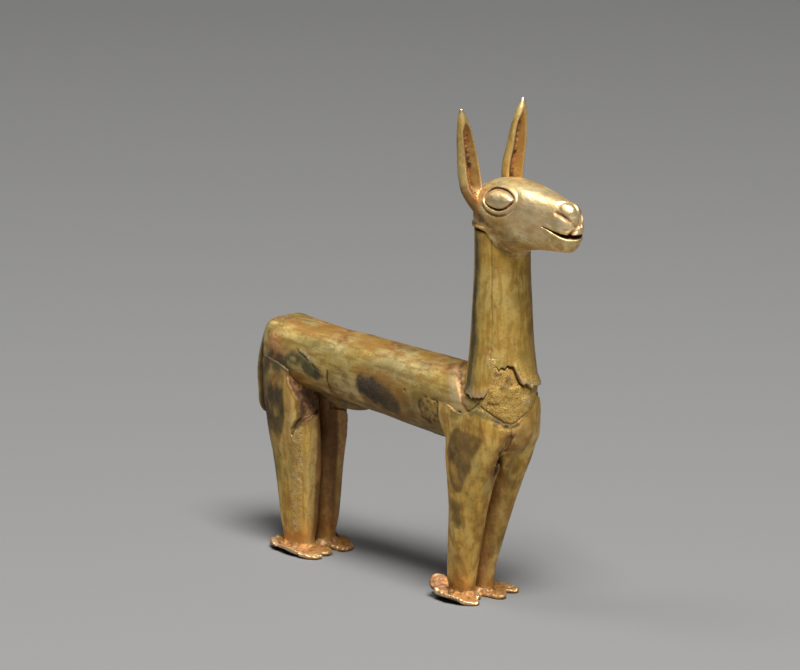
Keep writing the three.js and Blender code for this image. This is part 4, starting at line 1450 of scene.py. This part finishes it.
def raise_sole(name, corners, side, leg_rows, lift, seed, tab=None):
    outline = rounded_outline(corners)
    foot_x, foot_out = leg_rows[0][1:3]

    def lifted(p, plan):
        """How far the sheet's outer edge has risen off the table."""
        outwards = -0.45 * (p[:, 0] - foot_x) + 0.9 * (side * p[:, 1] - foot_out)
        return lift * ease(plan, -1.7, -0.05) * ease(outwards, 0.6, 2.6)

    def form(p):
        x, y, z = p.T
        plan = outline_depth(x, side * y, outline)
        rise = lifted(p, plan)
        half = 0.5 * sole_thickness
        made = shared(plan, np.abs(z - rise - half) - half + 0.02, 0.26)
        mound = leg_tube(p, leg_rows, side) + 0.9 * (z - 0.5) - 0.35
        made = joined(made, np.maximum(mound, np.maximum(z - 1.3, 0.1 - z)), 0.3)
        return np.maximum(joined(made, tab(p), 0.8), -floor_dip - z) if tab else made

    def worked(p, depth):
        lumps = 0.17 * rough(p, 1.1, seed) + 0.09 * ripple(p, 0.4, seed + 1)
        return depth + lumps * ease(p[:, 2], 0.1, 0.35) * (1 - 0.5 * ease(p[:, 2], 1.3, 1.7))

    def stains(p, depth):
        x, y, z = p.T
        plan = outline_depth(x, side * y, outline)
        # The right soles' outer rear edges get a wider, brighter rim: partly wear, partly a painted highlight.
        near = ease(side * y, 3.4, 4.4) * ease(x, foot_x - 3.5, foot_x - 1.5)
        edge = ease(plan, -0.55 - 0.5 * near, -0.2 - 0.5 * near) * ease(z, 0.2, 0.36) * ease(z, 1.8, 1.3)
        edge = edge * (1 if tab else 0.3 + 0.4 * near * (side < 0))
        on_tab = ease(tab(p), 0.25, 0.05) * ease(z, 0.9, 1.3) if tab else 0
        crease = ease(np.abs(z - 1.55 - 0.25 * ripple(p, 0.8, seed + 6)), 0.22, 0.06) * on_tab
        return {
            # Wear on the rims, with a painted highlight on the right soles' outer edges.
            "worn": most(
                edge * spots(p, 1.2, seed + 2, -1.0, -0.2) * (1 - on_tab), 0.7 * ease(z, 2.7, 2.95) * on_tab,
            ),
            "rust": most(
                0.95 * ease(plan, -0.2, -0.6) * spots(p, 0.8, seed + 3, -0.8, 0.0),
                0.8 * on_tab * spots(p, 0.8, seed + 7, -0.7, 0.1),
            ),
            # Pale rose on the rims: partly a painted highlight.
            "rose": most(0.3 * spots(p, 1.3, seed + 4, 0.0, 0.6), 0.5 * edge) * (1 - on_tab),
            "brown": most(
                0.95 * on_tab * ease(z, 2.9, 2.5),
                (0.6 * ease(z, 0.6, 0.9) + 0.7 * spots(p, 1.1, seed + 8, -0.8, 0.2)) * (1 - on_tab)
                * (1 - edge),
            ),
            "crust": 0.25 * (1 - edge) * (1 - on_tab),
            "dark": most(
                0.85 * crease, 0.5 * on_tab * spots(p, 0.9, seed + 9, -0.6, 0.2),
                0.6 * ease(plan, -0.2, -0.7) * spots(p, 0.6, seed + 5, 0.0, 0.4) * (1 - on_tab),
            ),
            # Painted shade: the lowest edge of the sheet, against the table, is painted near black.
            "deep": 0.9 * ease(z - lifted(p, plan), 0.14, 0.04) * (1 - on_tab),
        }

    across = side * outline[:, 1]
    low = (outline[:, 0].min() - 0.5, across.min() - 0.4, -0.2)
    high = (outline[:, 0].max() + 0.4, across.max() + 0.4, 3.6 if tab else 1.7)
    sole = raise_sheet(name, low, high, 0.095, form, worked, stains, 0.4)
    sole.data.materials.append(sole_copper)
    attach(sole, "root")
    return sole


tab_root = (-6.65, -4.55, 0.45)
tab_lean = math.radians(70)
tab_x, tab_y = 0.6646, 0.7472  # the direction of its foot on the sole
tab_across = np.array([tab_x, tab_y, 0])
tab_rising = np.array([-tab_y * math.cos(tab_lean), tab_x * math.cos(tab_lean), math.sin(tab_lean)])
tab_facing = np.cross(tab_across, tab_rising)


def curled_tab(p):
    """The tab stands up as a rounded lobe beside the heel, its upper rim curled over backwards."""
    off = p - np.array(tab_root)
    across, up, facing = off @ tab_across, off @ tab_rising, off @ tab_facing
    lobe = 1.25 * (np.hypot(across / 1.25, (up - 1.45) / np.where(up > 1.45, 1.35, 1.9)) - 1)
    plan = shared(lobe, 0.4 - 0.55 * across - up, 0.3)
    curl = facing + 0.45 * ease(up, 1.8, 2.9) - 0.3 * ease(up, 1.5, 0.6) + 0.1 * ripple(off, 1.3, 441)
    return shared(plan, np.abs(curl) - 0.26, 0.18)


sole_copper = old_gold("sole_copper", (0.50, 0.19, 0.045), (0.74, 0.37, 0.13), (0.25, 0.08, 0.02), 0.48, 0.7)
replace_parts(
    raise_sole("front_sole_right", front_sole_right, -1, front_leg_rows, 0.75, 401, curled_tab),
    "sole_front_right",
)
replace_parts(raise_sole("front_sole_left", front_sole_left, 1, front_leg_rows, 0.1, 411), "sole_front_left")
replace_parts(raise_sole("hind_sole_right", hind_sole_right, -1, hind_leg_rows, 0.55, 421), "sole_hind_right")
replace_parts(raise_sole("hind_sole_left", hind_sole_left, 1, hind_leg_rows, 0.1, 431), "sole_hind_left")


# Tail
# The tail is a narrow strip of sheet soldered on the rump. It hangs clear of the hind legs and is
# browner than the body, with a rim rubbed to an olive gold.
tail_rows = [
    (16.2, -45.3, 0.5),
    (17.0, -45.35, 1.1),
    (19.6, -45.25, 1.65),
    (22, -45.0, 2.0),
    (24.6, -44.4, 2.2),
    (27, -43.4, 2.4),
    (28.9, -42.5, 2.5),
]
tail_thickness = 0.7


def tail_form(p):
    x, y, z = p.T
    outer, half_width = along_rows(tail_rows, z)
    strip = round_depth(x - outer - tail_thickness / 2, y, tail_thickness / 2, half_width, 2.6)
    return shared(shared(strip, 16.25 - z, 0.3), z - 28.9, 0.3)


def tail_worked(p, depth):
    return depth + hammered(p * [1, 1, 0.5], 501, 0.04)


def tail_stains_and_shade(p, depth):
    outer, half_width = along_rows(tail_rows, p[:, 2])
    share = np.abs(p[:, 1]) / half_width
    upright = p * [1, 1, 0.3]
    return {
        "rust": 0.5 * ease(share, 0.9, 0.6) * spots(upright, 1.4, 502, -0.4, 0.5),
        "brown": 0.8 * ease(share, 0.95, 0.7),
        "green": most(0.7 * ease(share, 0.75, 0.95), 0.4 * spots(p, 2.0, 503, -0.2, 0.5)),
        # Painted shade: the tail's inner face, turned to the rump, is darkened.
        "dark": most(0.45 * ease(p[:, 0] - outer, 0.35, 0.6), 0.25 * spots(upright, 1.1, 504, 0, 0.6)),
        "worn": 0.25 * ease(share, 0.86, 0.98),
    }


tail_gold = old_gold(
    "tail_gold", (0.55, 0.36, 0.11), (0.64, 0.46, 0.17), (0.32, 0.17, 0.05), 0.52, 0.66, (1, 1, 0.2),
)
tail = raise_sheet(
    "tail_strip", (-46.2, -3.0, 15.8), (-41.0, 3.0, 29.4), 0.12, tail_form, tail_worked, tail_stains_and_shade,
)
tail.data.materials.append(tail_gold)
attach(tail, "root")
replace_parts(tail, "tail")


# Table and light
# The figure stands on a seamless grey table, as for a museum photograph. A soft box hangs high up on
# the side that its head looks to, and a weaker lamp over its back lifts the shadows.
table_data = bpy.data.meshes.new("table")
table_reach = 3.0
table_data.from_pydata(
    [
        (-table_reach, -table_reach, 0), (table_reach, -table_reach, 0), (table_reach, table_reach, 0),
        (-table_reach, table_reach, 0),
    ],
    [],
    [(0, 1, 2, 3)],
)
table = bpy.data.objects.new("table", table_data)
bpy.context.scene.collection.objects.link(table)
paper = bpy.data.materials.new("pale_paper")
paper.use_nodes = True
paper.node_tree.nodes["Principled BSDF"].inputs["Base Color"].default_value = (0.2, 0.198, 0.195, 1)
paper.node_tree.nodes["Principled BSDF"].inputs["Roughness"].default_value = 0.9
table_data.materials.append(paper)


def soft_light(name, place, aim, size, power):
    """A soft box at a place in metres, turned to a point."""
    data = bpy.data.lights.new(name, "AREA")
    data.shape = "RECTANGLE"
    data.size, data.size_y = size
    data.energy = power
    lamp = bpy.data.objects.new(name, data)
    lamp.location = place
    lamp.rotation_euler = (Vector(aim) - Vector(place)).to_track_quat("-Z", "Y").to_euler()
    bpy.context.scene.collection.objects.link(lamp)
    return data


soft_box = soft_light("soft_box", (0.42, -0.22, 1.0), (0.10, -0.10, 0.0), (0.44, 0.44), 9.2)
soft_box.spread = math.radians(115)
soft_light("top_lamp", (-0.3, -0.25, 0.9), (0.0, 0.0, 0.04), (0.3, 0.3), 2.3)

world = bpy.data.worlds.new("studio")
world.use_nodes = True
world.node_tree.nodes["Background"].inputs["Color"].default_value = (0.5, 0.5, 0.5, 1)
world.node_tree.nodes["Background"].inputs["Strength"].default_value = 0.015
bpy.context.scene.world = world
bpy.context.scene.view_settings.view_transform = "Standard"
